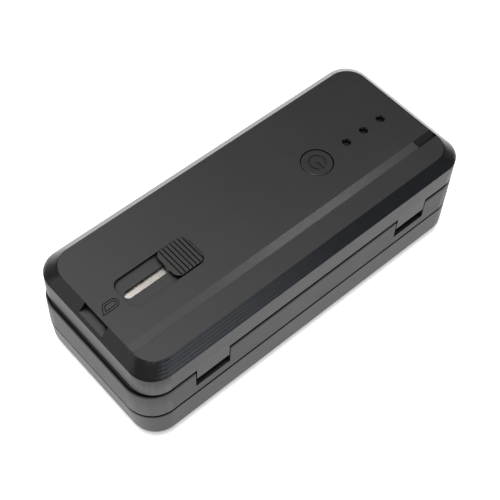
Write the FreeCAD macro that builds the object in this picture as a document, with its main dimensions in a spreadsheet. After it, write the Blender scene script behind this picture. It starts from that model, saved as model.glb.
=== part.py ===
"""Compact jump starter pack with a hinged lid, a thumb-slid belt cutter and an accessory tray.

Frame: millimetres, +Z up. The origin is on the ground under the middle of the case, +X runs along
the case to the charging ports, and -Y is the long side that carries the lid's hinge lugs.
"""
import FreeCAD, Part
import os
import re
import Sketcher

doc = FreeCAD.newDocument("jump_starter_pack")

# ---------------------------------------------------------------- driving dimensions

SIZES = [
    # case envelope
    ("case_length", 160.0), ("case_width", 67.0), ("corner_radius", 10.2),
    ("top_corner_radius", 9.0), ("bevel_height", 4.4), ("bevel_inset", 4.4), ("wall", 2.2),
    ("foot_proud", 0.8), ("bottom_wall_height", 12.6), ("seam_gap", 0.6), ("seam_depth", 1.3),
    ("rim_round", 1.2), ("frame_height", 14.6), ("frame_shoulder", 2.0), ("end_flare", 1.4),
    ("band_corner_radius", 12.0), ("lid_gap", 1.0), ("lid_wall_height", 9.6),
    ("floor_thickness", 2.2), ("lid_top_thickness", 1.9),
    # clearances
    ("slip", 0.3), ("fit", 0.05),
    # blade track, slider and cutter
    ("track_inset", 15.4), ("track_length", 33.6), ("track_width", 14.2), ("track_corner", 3.6),
    ("track_depth", 1.0), ("slot_width", 3.4), ("slot_inset", 1.1), ("slot_end_cover", 2.8),
    ("slider_length", 13.6), ("slider_proud", 0.7), ("slider_corner", 3.0),
    ("rib_pitch", 1.72), ("rib_groove", 0.5), ("neck_length", 6.0), ("neck_width", 3.0),
    ("blade_width", 10.4), ("blade_thickness", 0.7), ("blade_tip_inset", 5.0),
    ("blade_slant", 7.5), ("notch_width", 13.4), ("notch_rise", 1.2), ("mouth_height", 2.1),
    ("guide_wall", 2.4), ("guide_floor", 1.3), ("carrier_thickness", 1.6),
    ("guide_flange", 3.0), ("guide_flange_thickness", 1.2),
    ("icon_length", 8.2), ("icon_width", 4.2), ("icon_slant", 2.5), ("icon_line", 0.35),
    ("icon_step", 0.9), ("icon_end_gap", 1.1), ("engraving", 0.3),
    # power button, indicators and light groove
    ("button_inset", 50.0), ("button_radius", 6.3), ("button_flange", 1.5),
    ("button_flange_thickness", 1.2), ("button_sink", 0.1), ("stem_radius", 3.0),
    ("button_stroke", 0.6), ("spring_wire", 0.6), ("spring_coils", 5.0),
    ("sign_inner_radius", 2.8), ("sign_outer_radius", 3.7), ("sign_bar_width", 0.9),
    ("led_inset", 34.1), ("led_pitch", 9.35), ("pipe_radius", 1.25), ("pipe_recess", 1.6),
    ("countersink_radius", 1.9), ("countersink_depth", 0.75),
    ("groove_offset", 20.4), ("groove_width", 3.8), ("groove_depth", 0.45),
    ("groove_end_length", 9.8), ("groove_end_depth", 1.3),
    # lid inner plate
    ("plate_thickness", 1.4), ("plate_lift", 0.2), ("lid_boss_radius", 2.8),
    ("lid_boss_end_inset", 12.0), ("lid_boss_side_inset", 9.0), ("lid_boss_middle", 6.0),
    ("small_screw_radius", 1.0), ("small_head_radius", 1.9), ("small_head_height", 0.8),
    ("magnet_radius", 3.0), ("frame_magnet_thickness", 2.0),
    # hinge
    ("lug_inset", 29.2), ("lug_width", 15.2), ("lug_thickness", 4.3), ("lug_drop", 6.2),
    ("lug_rise", 2.6), ("tongue_width", 11.0), ("tongue_thickness", 2.0), ("tongue_height", 4.4),
    ("pin_radius", 1.1), ("pin_setback", 2.6), ("pin_rise", 1.8), ("pin_seat", 2.6),
    ("recess_side_gap", 0.5), ("recess_depth", 6.2), ("recess_drop", 10.3),
    # middle frame
    ("bay_length", 60.0), ("bay_wall", 3.5), ("end_wall", 4.2), ("deck_sink", 1.4),
    ("deck_thickness", 2.0), ("tray_end_inset", 14.5), ("tray_front_inset", 10.0),
    ("tray_rear_inset", 5.0), ("tray_floor", 1.8), ("tray_corner", 4.0),
    ("seal_end_inset", 2.3), ("seal_front_inset", 7.0), ("seal_groove_width", 1.4),
    ("seal_groove_depth", 0.9), ("seal_slack", 0.15),
    ("finger_notch_length", 22.0), ("finger_notch_depth", 1.6), ("finger_notch_height", 2.8),
    # port bay
    ("flap_width", 45.2), ("flap_thickness", 1.3), ("flap_recess", 1.75), ("flap_base", 1.2),
    ("flap_height", 11.3), ("flap_knuckle", 0.7), ("flap_pin_radius", 0.4),
    ("flap_grip_width", 12.0), ("flap_grip_height", 1.4), ("knuckle_gap", 0.5),
    ("socket_width", 16.0), ("socket_height", 8.4), ("socket_length", 17.4),
    ("socket_offset", -12.4), ("socket_wall", 0.9), ("contact_radius", 2.0),
    ("contact_pitch", 7.2), ("contact_free_depth", 5.4), ("contact_tail", 2.5),
    ("strap_thickness", 1.2), ("strap_width", 5.0),
    ("usb_width", 13.1), ("usb_height", 5.7), ("usb_length", 14.4), ("usb_offset", 9.55),
    ("usb_wall", 0.4), ("usb_tongue_thickness", 1.8), ("usb_tongue_setback", 2.4),
    ("jack_width", 6.2), ("jack_length", 13.9), ("jack_offset", 19.4), ("jack_bore", 2.7),
    ("jack_depth", 10.0), ("jack_pin_radius", 0.9), ("jack_pin_setback", 1.5),
    # control board
    ("board_thickness", 1.6), ("control_board_rise", 2.2), ("control_board_inset", 4.5),
    ("control_board_front", 2.2), ("control_board_rear", 22.2), ("control_wing_length", 32.0),
    ("control_wing_front", 22.0), ("post_radius", 2.4), ("post_screw_radius", 0.9),
    ("tact_width", 6.0), ("tact_height", 3.6), ("tact_shaft_radius", 1.7),
    ("tact_shaft_sink", 0.1), ("led_radius", 1.45), ("led_spacer_radius", 1.9),
    ("led_spacer_height", 5.0), ("led_height", 4.2),
    # main board
    ("standoff_height", 2.6), ("standoff_radius", 2.6), ("main_board_length", 48.0),
    ("main_board_side_gap", 13.5), ("board_hole_inset", 3.0), ("connector_length", 5.0),
    ("connector_width", 16.0), ("relay_length", 16.0), ("relay_width", 15.0),
    ("relay_height", 10.5), ("inductor_width", 12.0), ("inductor_height", 6.0),
    ("capacitor_radius", 4.0), ("capacitor_height", 10.0), ("transistor_length", 6.0),
    ("transistor_width", 5.0), ("transistor_height", 1.2), ("transistor_pitch", 7.0),
    ("spreader_thickness", 2.0), ("spreader_margin", 1.0),
    # battery
    ("battery_end_inset", 16.0), ("battery_gap", 6.0), ("battery_side_gap", 9.5),
    ("foam_thickness", 1.0), ("top_foam_thickness", 1.5), ("cell_corner", 3.0),
    ("tab_length", 3.0), ("tab_width", 6.0), ("tab_thickness", 0.3), ("tab_offset", 11.0),
    ("busbar_thickness", 0.8), ("rib_height", 3.0), ("rib_width", 1.2),
    # case screws and feet
    ("screw_left_inset", 9.0), ("screw_left_side", 10.0), ("screw_right_inset", 14.0),
    ("screw_right_side", 7.5), ("screw_middle_side", 7.5), ("case_boss_radius", 3.2),
    ("case_screw_radius", 1.25), ("case_screw_length", 24.0), ("case_head_radius", 2.4),
    ("case_head_height", 1.4), ("counterbore_depth", 2.2),
    ("foot_radius", 5.0), ("foot_recess", 1.0), ("foot_end_inset", 24.0), ("foot_side_inset", 14.0),
]

# Places worked out from the sizes, each named once.
PLACES = {
    "frame_z": "foot_proud + bevel_height + bottom_wall_height + seam_gap",
    "frame_top": "frame_z + frame_height",
    "lid_z": "frame_top + lid_gap",
    "lid_edge": "lid_z + lid_wall_height",
    "lid_top": "lid_edge + bevel_height",
    "lid_ceiling": "lid_top - lid_top_thickness",
    "plate_z": "lid_z + plate_lift",
    "plate_top": "plate_z + plate_thickness",
    "half_length": "case_length / 2",
    "half_width": "case_width / 2",
    "front_face": "0 - case_width / 2",
    "band_length": "case_length + 2 * end_flare",
    "band_end": "band_length / 2",
    # track and cutter
    "track_middle": "track_inset + track_length / 2 - half_length",
    "track_floor": "lid_top - track_depth",
    "track_right": "track_inset + track_length - half_length",
    "slider_middle": "track_right - slip - slider_length / 2",
    "notch_floor": "lid_edge + notch_rise",
    "blade_z": "notch_floor + slip",
    "blade_left": "blade_tip_inset - half_length",
    "blade_right": "slider_middle + neck_length / 2 + 2",
    "carrier_z": "blade_z - carrier_thickness",
    "guide_z": "carrier_z - slip - guide_floor",
    "guide_left": "blade_left + 0.2",
    "guide_right": "slider_middle + slider_length / 2 + 4",
    "guide_inside": "blade_width / 2 + slip + 0.1",
    # button and indicators
    "button_x": "half_length - button_inset",
    "stem_end": "tact_top + button_stroke + fit",
    "tact_top": "frame_top - tact_shaft_sink",
    "led_x": "half_length - led_inset",
    # lid inner plate
    "boss_x": "half_length - lid_boss_end_inset",
    "boss_y": "half_width - lid_boss_side_inset",
    "magnet_x": "half_length - 11",
    "magnet_y": "half_width - 15.5",
    # hinge
    "lug_x": "half_length - lug_inset",
    "pin_y": "front_face + pin_setback",
    "lug_bottom": "lid_z - lug_drop",
    "pin_z": "lug_bottom + pin_rise",
    # middle frame
    "bay_left": "half_length - bay_length",
    "bay_right": "band_end - end_wall",
    "tray_left": "tray_end_inset - half_length",
    "tray_right": "bay_left - bay_wall",
    "recess_bottom": "frame_top - recess_drop",
    # ports
    "flap_face": "band_end - flap_recess",
    "flap_z": "frame_z + flap_base",
    "flap_axis_x": "band_end - flap_knuckle",
    "flap_axis_z": "flap_z + flap_knuckle + knuckle_gap",
    "control_z": "frame_z + control_board_rise",
    "control_top": "control_z + board_thickness",
    "socket_z": "control_top - 1.2",
    "socket_back": "flap_face - socket_length",
    # main board
    "case_floor": "foot_proud + floor_thickness",
    "main_z": "case_floor + standoff_height",
    "main_top": "main_z + board_thickness",
    "main_left": "bay_left + 4",
    "main_board_width": "case_width - 2 * main_board_side_gap",
    # battery
    "battery_left": "battery_end_inset - half_length",
    "battery_right": "bay_left - battery_gap",
    "battery_width": "case_width - 2 * battery_side_gap",
    "cells_z": "case_floor + foam_thickness",
    "cell_thickness": "(frame_z - top_foam_thickness - cells_z) / 3",
}

sizes = doc.addObject("Spreadsheet::Sheet", "size")
for row, (name, number) in enumerate(SIZES, start=1):
    sizes.set(f"A{row}", name)
    sizes.set(f"B{row}", str(number))
    sizes.setAlias(f"B{row}", name)
doc.recompute()
SIZE_NAMES = {name for name, _ in SIZES}


def expression(text):
    """FreeCAD expression for a text whose words are sizes or places."""

    def word(match):
        found = match.group(0)
        if found in PLACES:
            return "(" + expression(PLACES[found]) + ")"
        return "size." + found if found in SIZE_NAMES else found

    return re.sub(r"[A-Za-z_]\w*", word, str(text))


def value(text):
    return float(sizes.evalExpression(expression(text)))


def bind(item, **properties):
    for name, text in properties.items():
        item.setExpression(name, expression(text))


def place(item, x, y, z, axis="Z"):
    """Put an item at (x, y, z), with its own Z turned to the given axis."""
    turns = {
        "Z": FreeCAD.Rotation(),
        "X": FreeCAD.Rotation(FreeCAD.Vector(0, 1, 0), 90),
        "Y": FreeCAD.Rotation(FreeCAD.Vector(1, 0, 0), -90),
    }
    item.Placement = FreeCAD.Placement(FreeCAD.Vector(), turns[axis])
    item.setExpression("Placement.Base.x", expression(x))
    item.setExpression("Placement.Base.y", expression(y))
    item.setExpression("Placement.Base.z", expression(z))
    return item


sub_parts = []


def named(item, label):
    item.Label = label
    sub_parts.append(item)
    return item


# ---------------------------------------------------------------- PartDesign helpers


def new_body(label, z="0"):
    """Body whose own ground plane lies at height z."""
    body = doc.addObject("PartDesign::Body", label)
    body.setExpression("Placement.Base.z", expression(z))
    return named(body, label)


def origin_feature(body, role):
    return [item for item in body.Origin.OriginFeatures if item.Role == role][0]


def box(body, name, x, y, z, length, width, height, cut=False):
    """Box of a body from its low corner."""
    kind = "PartDesign::SubtractiveBox" if cut else "PartDesign::AdditiveBox"
    item = body.newObject(kind, name)
    bind(item, Length=length, Width=width, Height=height)
    return place(item, x, y, z)


def rod(body, name, x, y, z, radius, height, axis="Z", cut=False):
    """Cylinder of a body from the middle of its lower end."""
    kind = "PartDesign::SubtractiveCylinder" if cut else "PartDesign::AdditiveCylinder"
    item = body.newObject(kind, name)
    bind(item, Radius=radius, Height=height)
    return place(item, x, y, z, axis)


def cone(body, name, x, y, z, radius, top_radius, height, cut=True):
    kind = "PartDesign::SubtractiveCone" if cut else "PartDesign::AdditiveCone"
    item = body.newObject(kind, name)
    bind(item, Radius1=radius, Radius2=top_radius, Height=height)
    return place(item, x, y, z)


def new_sketch(body, name, x="0", y="0", z="0", role="XY_Plane"):
    sketch = body.newObject("Sketcher::SketchObject", name)
    sketch.AttachmentSupport = [(origin_feature(body, role), "")]
    sketch.MapMode = "FlatFace"
    sketch.setExpression("AttachmentOffset.Base.x", expression(x))
    sketch.setExpression("AttachmentOffset.Base.y", expression(y))
    sketch.setExpression("AttachmentOffset.Base.z", expression(z))
    return sketch


def dimension(sketch, constraint, name, text):
    """Add a dimension that follows an expression."""
    index = sketch.addConstraint(constraint)
    sketch.renameConstraint(index, name)
    sketch.setExpression(f"Constraints.{name}", expression(text))


def add_rounded_rectangle(sketch, length, width, radius):
    """Rounded rectangle centred on the sketch's origin."""
    half_x = value(length) / 2
    half_y = value(width) / 2
    bend = value(radius)
    first = len(sketch.Geometry)
    up = FreeCAD.Vector(0, 0, 1)
    corners = [(1, -1, -90), (1, 1, 0), (-1, 1, 90), (-1, -1, 180)]
    centres = [FreeCAD.Vector(sx * (half_x - bend), sy * (half_y - bend), 0) for sx, sy, _ in corners]
    ends = []
    for (_, _, start), centre in zip(corners, centres):
        circle = Part.Circle(centre, up, bend)
        low = FreeCAD.Units.Quantity(f"{start} deg").getValueAs("rad").Value
        high = FreeCAD.Units.Quantity(f"{start + 90} deg").getValueAs("rad").Value
        arc = Part.ArcOfCircle(circle, low, high)
        ends.append((arc, arc.StartPoint, arc.EndPoint))
    for index in range(4):
        sketch.addGeometry(Part.LineSegment(ends[index - 1][2], ends[index][1]))
        sketch.addGeometry(ends[index][0])
    for index in range(8):
        here = first + index
        after = first + (index + 1) % 8
        sketch.addConstraint(Sketcher.Constraint("Tangent", here, 2, after, 1))
    for index, direction in enumerate(["Horizontal", "Vertical", "Horizontal", "Vertical"]):
        sketch.addConstraint(Sketcher.Constraint(direction, first + 2 * index))
    for index in (3, 5, 7):
        sketch.addConstraint(Sketcher.Constraint("Equal", first + 1, first + index))
    sketch.addConstraint(Sketcher.Constraint("Symmetric", first + 1, 3, first + 5, 3, -1, 1))
    tag = f"outline{first}"
    dimension(sketch, Sketcher.Constraint("Radius", first + 1, bend), f"{tag}_radius", radius)
    across = Sketcher.Constraint("DistanceX", first + 6, 1, first + 2, 1, 2 * half_x)
    dimension(sketch, across, f"{tag}_length", length)
    upward = Sketcher.Constraint("DistanceY", first, 1, first + 4, 1, 2 * half_y)
    dimension(sketch, upward, f"{tag}_width", width)


def add_slot(sketch, length, width):
    """Slot along X, centred on the sketch's origin."""
    bend = value(width) / 2
    reach = value(length) / 2 - bend
    up = FreeCAD.Vector(0, 0, 1)
    quarter = FreeCAD.Units.Quantity("90 deg").getValueAs("rad").Value
    right = Part.ArcOfCircle(Part.Circle(FreeCAD.Vector(reach, 0, 0), up, bend), -quarter, quarter)
    left = Part.ArcOfCircle(Part.Circle(FreeCAD.Vector(-reach, 0, 0), up, bend), quarter, 3 * quarter)
    sketch.addGeometry(Part.LineSegment(left.EndPoint, right.StartPoint))
    sketch.addGeometry(right)
    sketch.addGeometry(Part.LineSegment(right.EndPoint, left.StartPoint))
    sketch.addGeometry(left)
    for index in range(4):
        sketch.addConstraint(Sketcher.Constraint("Tangent", index, 2, (index + 1) % 4, 1))
    sketch.addConstraint(Sketcher.Constraint("Horizontal", 0))
    sketch.addConstraint(Sketcher.Constraint("Symmetric", 1, 3, 3, 3, -1, 1))
    dimension(sketch, Sketcher.Constraint("Radius", 1, bend), "bend", f"({width}) / 2")
    span = Sketcher.Constraint("DistanceX", 3, 3, 1, 3, 2 * reach)
    dimension(sketch, span, "span", f"({length}) - ({width})")


def add_polygon(sketch, points):
    """Closed outline through points whose coordinates are texts, all zero or positive."""
    places = [FreeCAD.Vector(value(x), value(y), 0) for x, y in points]
    first = len(sketch.Geometry)
    count = len(points)
    for index in range(count):
        sketch.addGeometry(Part.LineSegment(places[index], places[(index + 1) % count]))
    for index in range(count):
        after = first + (index + 1) % count
        sketch.addConstraint(Sketcher.Constraint("Coincident", first + index, 2, after, 1))
    for index, (x, y) in enumerate(points):
        line = first + index
        for text, axis, kind in ((x, -2, "DistanceX"), (y, -1, "DistanceY")):
            if text == "0":
                sketch.addConstraint(Sketcher.Constraint("PointOnObject", line, 1, axis))
            else:
                reach = Sketcher.Constraint(kind, -1, 1, line, 1, value(text))
                dimension(sketch, reach, f"{kind}{line}", text)


def pad(body, name, sketch, height):
    item = body.newObject("PartDesign::Pad", name)
    item.Profile = sketch
    bind(item, Length=height)
    return item


def pocket(body, name, sketch, depth, upward=False):
    """Cut down from the sketch, or upward; the volume has to fall."""
    doc.recompute()
    before = body.Shape.Volume
    item = body.newObject("PartDesign::Pocket", name)
    item.Profile = sketch
    item.Reversed = upward
    bind(item, Length=depth)
    doc.recompute()
    if not body.Shape.Volume < before:
        raise RuntimeError(f"{body.Label}: {name} cuts nothing")
    return item


def loft(body, name, lower, upper):
    item = body.newObject("PartDesign::AdditiveLoft", name)
    item.Profile = lower
    item.Sections = [upper]
    item.Ruled = True
    return item


def rounded_pad(body, name, z, length, width, radius, height, x="0", y="0"):
    sketch = new_sketch(body, name + "_sketch", x, y, z)
    add_rounded_rectangle(sketch, length, width, radius)
    return pad(body, name, sketch, height)


def rounded_pocket(body, name, z, length, width, radius, depth, x="0", y="0", upward=False):
    sketch = new_sketch(body, name + "_sketch", x, y, z)
    add_rounded_rectangle(sketch, length, width, radius)
    return pocket(body, name, sketch, depth, upward)


def edges_where(feature, test):
    doc.recompute()
    return [f"Edge{i}" for i, edge in enumerate(feature.Shape.Edges, start=1) if test(edge)]


def at_height(height):
    """Test for an edge that lies flat at a height."""
    return lambda edge: abs(edge.BoundBox.ZMin - height) < 1e-6 and abs(edge.BoundBox.ZMax - height) < 1e-6


def chamfer(body, name, feature, edges, size):
    item = body.newObject("PartDesign::Chamfer", name)
    item.Base = (feature, edges)
    bind(item, Size=size)
    return item


def fillet(body, name, feature, edges, radius):
    item = body.newObject("PartDesign::Fillet", name)
    item.Base = (feature, edges)
    bind(item, Radius=radius)
    return item


def row_of(body, name, feature, role, length, count):
    """Repeat a feature in a row; length is the distance from the first to the last."""
    item = body.newObject("PartDesign::LinearPattern", name)
    item.Originals = [feature]
    item.Direction = (origin_feature(body, role), [""])
    bind(item, Length=length)
    item.Occurrences = count
    body.Tip = item
    return item


# ---------------------------------------------------------------- Part helpers


def part_box(name, x, y, z, length, width, height):
    item = doc.addObject("Part::Box", name)
    bind(item, Length=length, Width=width, Height=height)
    return place(item, x, y, z)


def part_rod(name, x, y, z, radius, height, axis="Z"):
    item = doc.addObject("Part::Cylinder", name)
    bind(item, Radius=radius, Height=height)
    return place(item, x, y, z, axis)


def fuse(name, *members):
    item = doc.addObject("Part::MultiFuse", name)
    item.Shapes = list(members)
    return item


def cut(name, base, tool):
    item = doc.addObject("Part::Cut", name)
    item.Base = base
    item.Tool = tool
    return item


def group(label, members):
    """Identical pieces that share a node."""
    item = doc.addObject("Part::Compound", label)
    item.Links = members
    return named(item, label)


def screw(name, x, y, head_z, head_radius, head_height, radius, length):
    """Screw driven upward: a pan head with a cross recess at head_z and a shank above it."""
    head = part_rod(name + "_head", x, y, head_z, head_radius, head_height)
    shank = part_rod(name + "_shank", x, y, f"{head_z} + {head_height}", radius, length)
    solid = fuse(name + "_solid", head, shank)
    arm = f"{head_radius} * 1.2"
    arm_width = f"{head_radius} * 0.3"
    depth = f"{head_height} * 0.5"
    along = part_box(
        name + "_slot_a", f"{x} - {arm} / 2", f"{y} - {arm_width} / 2", head_z, arm, arm_width,
        depth
    )
    across = part_box(
        name + "_slot_b", f"{x} - {arm_width} / 2", f"{y} - {arm} / 2", head_z, arm_width, arm,
        depth
    )
    return cut(name, solid, fuse(name + "_cross", along, across))


# ---------------------------------------------------------------- places that several pieces share

CASE_SCREWS = [
    ("screw_left_inset - half_length", "half_width - screw_left_side"),
    ("screw_left_inset - half_length", "screw_left_side - half_width"),
    ("bay_left - bay_wall / 2", "half_width - screw_middle_side"),
    ("bay_left - bay_wall / 2", "screw_middle_side - half_width"),
    ("half_length - screw_right_inset", "half_width - screw_right_side"),
    ("half_length - screw_right_inset", "screw_right_side - half_width"),
]
FEET = [
    (f"{sx} * (half_length - foot_end_inset)", f"{sy} * (half_width - foot_side_inset)")
    for sx in (-1, 1) for sy in (-1, 1)
]
LID_SCREWS = [
    (x, f"{sy} * boss_y") for x in ("0 - boss_x", "0 - lid_boss_middle", "boss_x") for sy in (-1, 1)
]
GUIDE_SCREWS = [
    (x, f"{sy} * (guide_inside + guide_wall + guide_flange / 2)")
    for x in ("guide_left + 6", "guide_right - 4") for sy in (-1, 1)
]
LUGS = [("left", "0 - lug_x"), ("right", "lug_x")]
INDICATORS = [f"led_x + {index} * led_pitch" for index in range(3)]
MAGNETS = [("0 - magnet_x + 2", "magnet_y - 6"), ("magnet_x", "magnet_y")]
MAIN_BOARD_HOLES = [
    (x, f"{sy} * (main_board_width / 2 - board_hole_inset)")
    for x in ("main_left + board_hole_inset", "main_left + main_board_length - board_hole_inset")
    for sy in (-1, 1)
]
CONTROL_POSTS = [
    ("main_left + board_hole_inset", "control_board_rear - 2.6"),
    ("main_left + board_hole_inset", "3 - control_wing_front"),
    ("main_left + control_wing_length - 3.4", "control_board_rear - 2.6"),
    ("main_left + control_wing_length - 3.4", "3 - control_wing_front"),
]


# ---------------------------------------------------------------- bottom case


def make_bottom_case():
    """Tray-shaped lower shell with a bevelled foot, screw bosses, board standoffs and foot recesses."""
    body = new_body("bottom_case", "foot_proud")
    under = new_sketch(body, "underside_sketch")
    add_rounded_rectangle(
        under, "case_length - 2 * bevel_inset", "case_width - 2 * bevel_inset", "top_corner_radius"
    )
    edge = new_sketch(body, "bevel_sketch", z="bevel_height")
    add_rounded_rectangle(edge, "case_length", "case_width", "corner_radius")
    loft(body, "bevel", under, edge)
    rim = "bevel_height + bottom_wall_height"
    start = new_sketch(body, "wall_foot_sketch", z="bevel_height")
    add_rounded_rectangle(start, "case_length", "case_width", "corner_radius")
    flared = new_sketch(body, "wall_top_sketch", z=rim)
    add_rounded_rectangle(flared, "band_length", "case_width", "band_corner_radius")
    walls = loft(body, "side_wall", start, flared)
    fillet(body, "rim_edge", walls, edges_where(walls, at_height(value(rim))), "rim_round")
    rounded_pad(
        body, "seam_land", rim, "band_length - 2 * seam_depth", "case_width - 2 * seam_depth",
        "band_corner_radius - seam_depth", "seam_gap",
    )
    top = f"{rim} + seam_gap"
    rounded_pocket(
        body, "upper_cavity", top, "case_length - 2 * wall", "case_width - 2 * wall",
        "corner_radius - wall", f"{top} - bevel_height",
    )
    inset = "(wall + bevel_inset * (1 - floor_thickness / bevel_height))"
    rounded_pocket(
        body, "lower_cavity", "bevel_height", f"case_length - 2 * {inset}", f"case_width - 2 * {inset}",
        "corner_radius - wall", "bevel_height - floor_thickness",
    )
    for index, (x, y) in enumerate(CASE_SCREWS):
        rod(body, f"boss_{index}", x, y, "floor_thickness", "case_boss_radius", f"{top} - floor_thickness")
    for index, (x, y) in enumerate(CASE_SCREWS):
        rod(body, f"screw_hole_{index}", x, y, "0", "case_screw_radius + fit", top, cut=True)
        rod(
            body, f"counterbore_{index}", x, y, "0", "case_head_radius + slip", "counterbore_depth",
            cut=True
        )
    for index, (x, y) in enumerate(FEET):
        rod(body, f"foot_recess_{index}", x, y, "0", "foot_radius + fit", "foot_recess", cut=True)
    for index, (x, y) in enumerate(MAIN_BOARD_HOLES):
        rod(
            body, f"standoff_{index}", x, y, "floor_thickness - 0.5", "standoff_radius",
            "standoff_height + 0.5"
        )
        rod(
            body, f"standoff_hole_{index}", x, y, "floor_thickness + 0.4",
            "post_screw_radius + fit", "standoff_height", cut=True,
        )
    ribs = [("left", "battery_left - slip - rib_width"), ("right", "battery_right + slip")]
    for side, x in ribs:
        box(
            body, f"battery_rib_{side}", x, "0 - battery_width / 2", "floor_thickness - 0.5",
            "rib_width", "battery_width", "rib_height + 0.5",
        )
    return body


def make_case_screws():
    members = [
        screw(
            f"case_screw_{index}", x, y, "foot_proud + counterbore_depth - case_head_height",
            "case_head_radius", "case_head_height", "case_screw_radius", "case_screw_length",
        )
        for index, (x, y) in enumerate(CASE_SCREWS)
    ]
    return group("case_screws", members)


def make_rubber_feet():
    members = []
    for index, (x, y) in enumerate(FEET):
        pad_part = part_rod(f"foot_pad_{index}", x, y, "0", "foot_radius", "foot_proud + foot_recess")
        dish = part_rod(f"foot_dish_{index}", x, y, "0", "foot_radius * 0.5", "foot_proud * 0.4")
        members.append(cut(f"foot_{index}", pad_part, dish))
    return group("rubber_feet", members)


# ---------------------------------------------------------------- middle frame


def make_middle_frame():
    """Band of the case: accessory tray, deck over the electronics bay, hinge recesses and port wall."""
    body = new_body("middle_frame", "frame_z")
    block = rounded_pad(
        body, "band", "0", "band_length", "case_width", "band_corner_radius", "frame_height"
    )
    edges = edges_where(block, at_height(value("frame_height")))
    fillet(body, "shoulder", block, edges, "frame_shoulder")
    cut_tray_and_deck(body)
    cut_seal_groove(body)
    cut_electronics_bay(body)
    add_hinge_housings(body)
    cut_port_wall(body)
    cut_deck_details(body)
    return body


def cut_tray_and_deck(body):
    depth_y = "case_width - tray_front_inset - tray_rear_inset"
    middle_y = "(tray_front_inset - tray_rear_inset) / 2"
    rounded_pocket(
        body, "tray", "frame_height", "tray_right - tray_left", depth_y, "tray_corner",
        "frame_height - tray_floor", x="(tray_left + tray_right) / 2", y=middle_y,
    )
    deck_right = "(half_length - tray_rear_inset - 0.5)"
    rounded_pocket(
        body, "deck", "frame_height", f"{deck_right} - tray_right + 8", depth_y, "tray_corner",
        "deck_sink", x=f"({deck_right} + tray_right - 8) / 2", y=middle_y,
    )
    box(
        body, "finger_notch", "0 - finger_notch_length / 2", "half_width - finger_notch_depth",
        "frame_height - finger_notch_height", "finger_notch_length", "finger_notch_depth + 1",
        "finger_notch_height + 1", cut=True,
    )


def seal_outline(extra):
    """Length, width, radius and middle of the seal's outer line, drawn in by extra."""
    length = f"case_length - 2 * seal_end_inset - 2 * ({extra})"
    width = f"case_width - seal_end_inset - seal_front_inset - 2 * ({extra})"
    radius = f"corner_radius - seal_end_inset - ({extra})"
    return length, width, radius


SEAL_MIDDLE = "(seal_front_inset - seal_end_inset) / 2"


def cut_seal_groove(body):
    sketch = new_sketch(body, "seal_groove_sketch", y=SEAL_MIDDLE, z="frame_height")
    add_rounded_rectangle(sketch, *seal_outline("0"))
    add_rounded_rectangle(sketch, *seal_outline("seal_groove_width"))
    pocket(body, "seal_groove", sketch, "seal_groove_depth")


def cut_electronics_bay(body):
    ceiling = "frame_height - deck_sink - deck_thickness"
    rounded_pocket(
        body, "bay", "0", "bay_right - bay_left", "case_width - 2 * wall", "tray_corner",
        ceiling, x="(bay_left + bay_right) / 2", upward=True,
    )
    rounded_pocket(
        body, "left_core", "0", "tray_end_inset - wall - 2", "case_width - 2 * screw_left_side - 14",
        "2", ceiling, x="(wall + tray_end_inset - 2) / 2 - half_length", upward=True,
    )
    for index, (x, y) in enumerate(CASE_SCREWS[4:]):
        rod(body, f"bay_boss_{index}", x, y, "0", "case_boss_radius", f"{ceiling} + 0.5")
    for index, (x, y) in enumerate(CONTROL_POSTS):
        start = "control_top - frame_z"
        rod(body, f"board_post_{index}", x, y, start, "post_radius", f"{ceiling} + 0.5 - ({start})")
    for index, (x, y) in enumerate(CONTROL_POSTS):
        rod(
            body, f"post_hole_{index}", x, y, "control_top - frame_z",
            "post_screw_radius + fit", "5", cut=True,
        )
    depth = "foot_proud + counterbore_depth + case_screw_length + slip - frame_z"
    for index, (x, y) in enumerate(CASE_SCREWS):
        rod(body, f"screw_pilot_{index}", x, y, "0", "case_screw_radius + fit", depth, cut=True)


def add_hinge_housings(body):
    """A walled pocket behind the front face for each lug, with blind seats for its pin."""
    side = "(lug_width / 2 + recess_side_gap)"
    ceiling = "(frame_height - deck_sink - deck_thickness)"
    floor = "(recess_bottom - frame_z)"
    for name, x in LUGS:
        box(
            body, f"housing_{name}", f"{x} - {side} - pin_seat - 0.6", "front_face + wall - 0.2",
            f"{floor} - 1.6", f"2 * ({side} + pin_seat + 0.6)", "recess_depth - wall + 1.8",
            f"{ceiling} - {floor} + 1.6 + 0.5",
        )
    for name, x in LUGS:
        box(
            body, f"recess_{name}", f"{x} - {side}", "front_face - 1", floor,
            f"2 * {side}", "recess_depth + 1", "recess_drop + 1", cut=True,
        )
        rod(
            body, f"pin_seat_{name}", f"{x} - {side} - pin_seat", "pin_y", "pin_z - frame_z",
            "pin_radius + 0.02", f"2 * ({side} + pin_seat)", axis="X", cut=True,
        )


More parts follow.
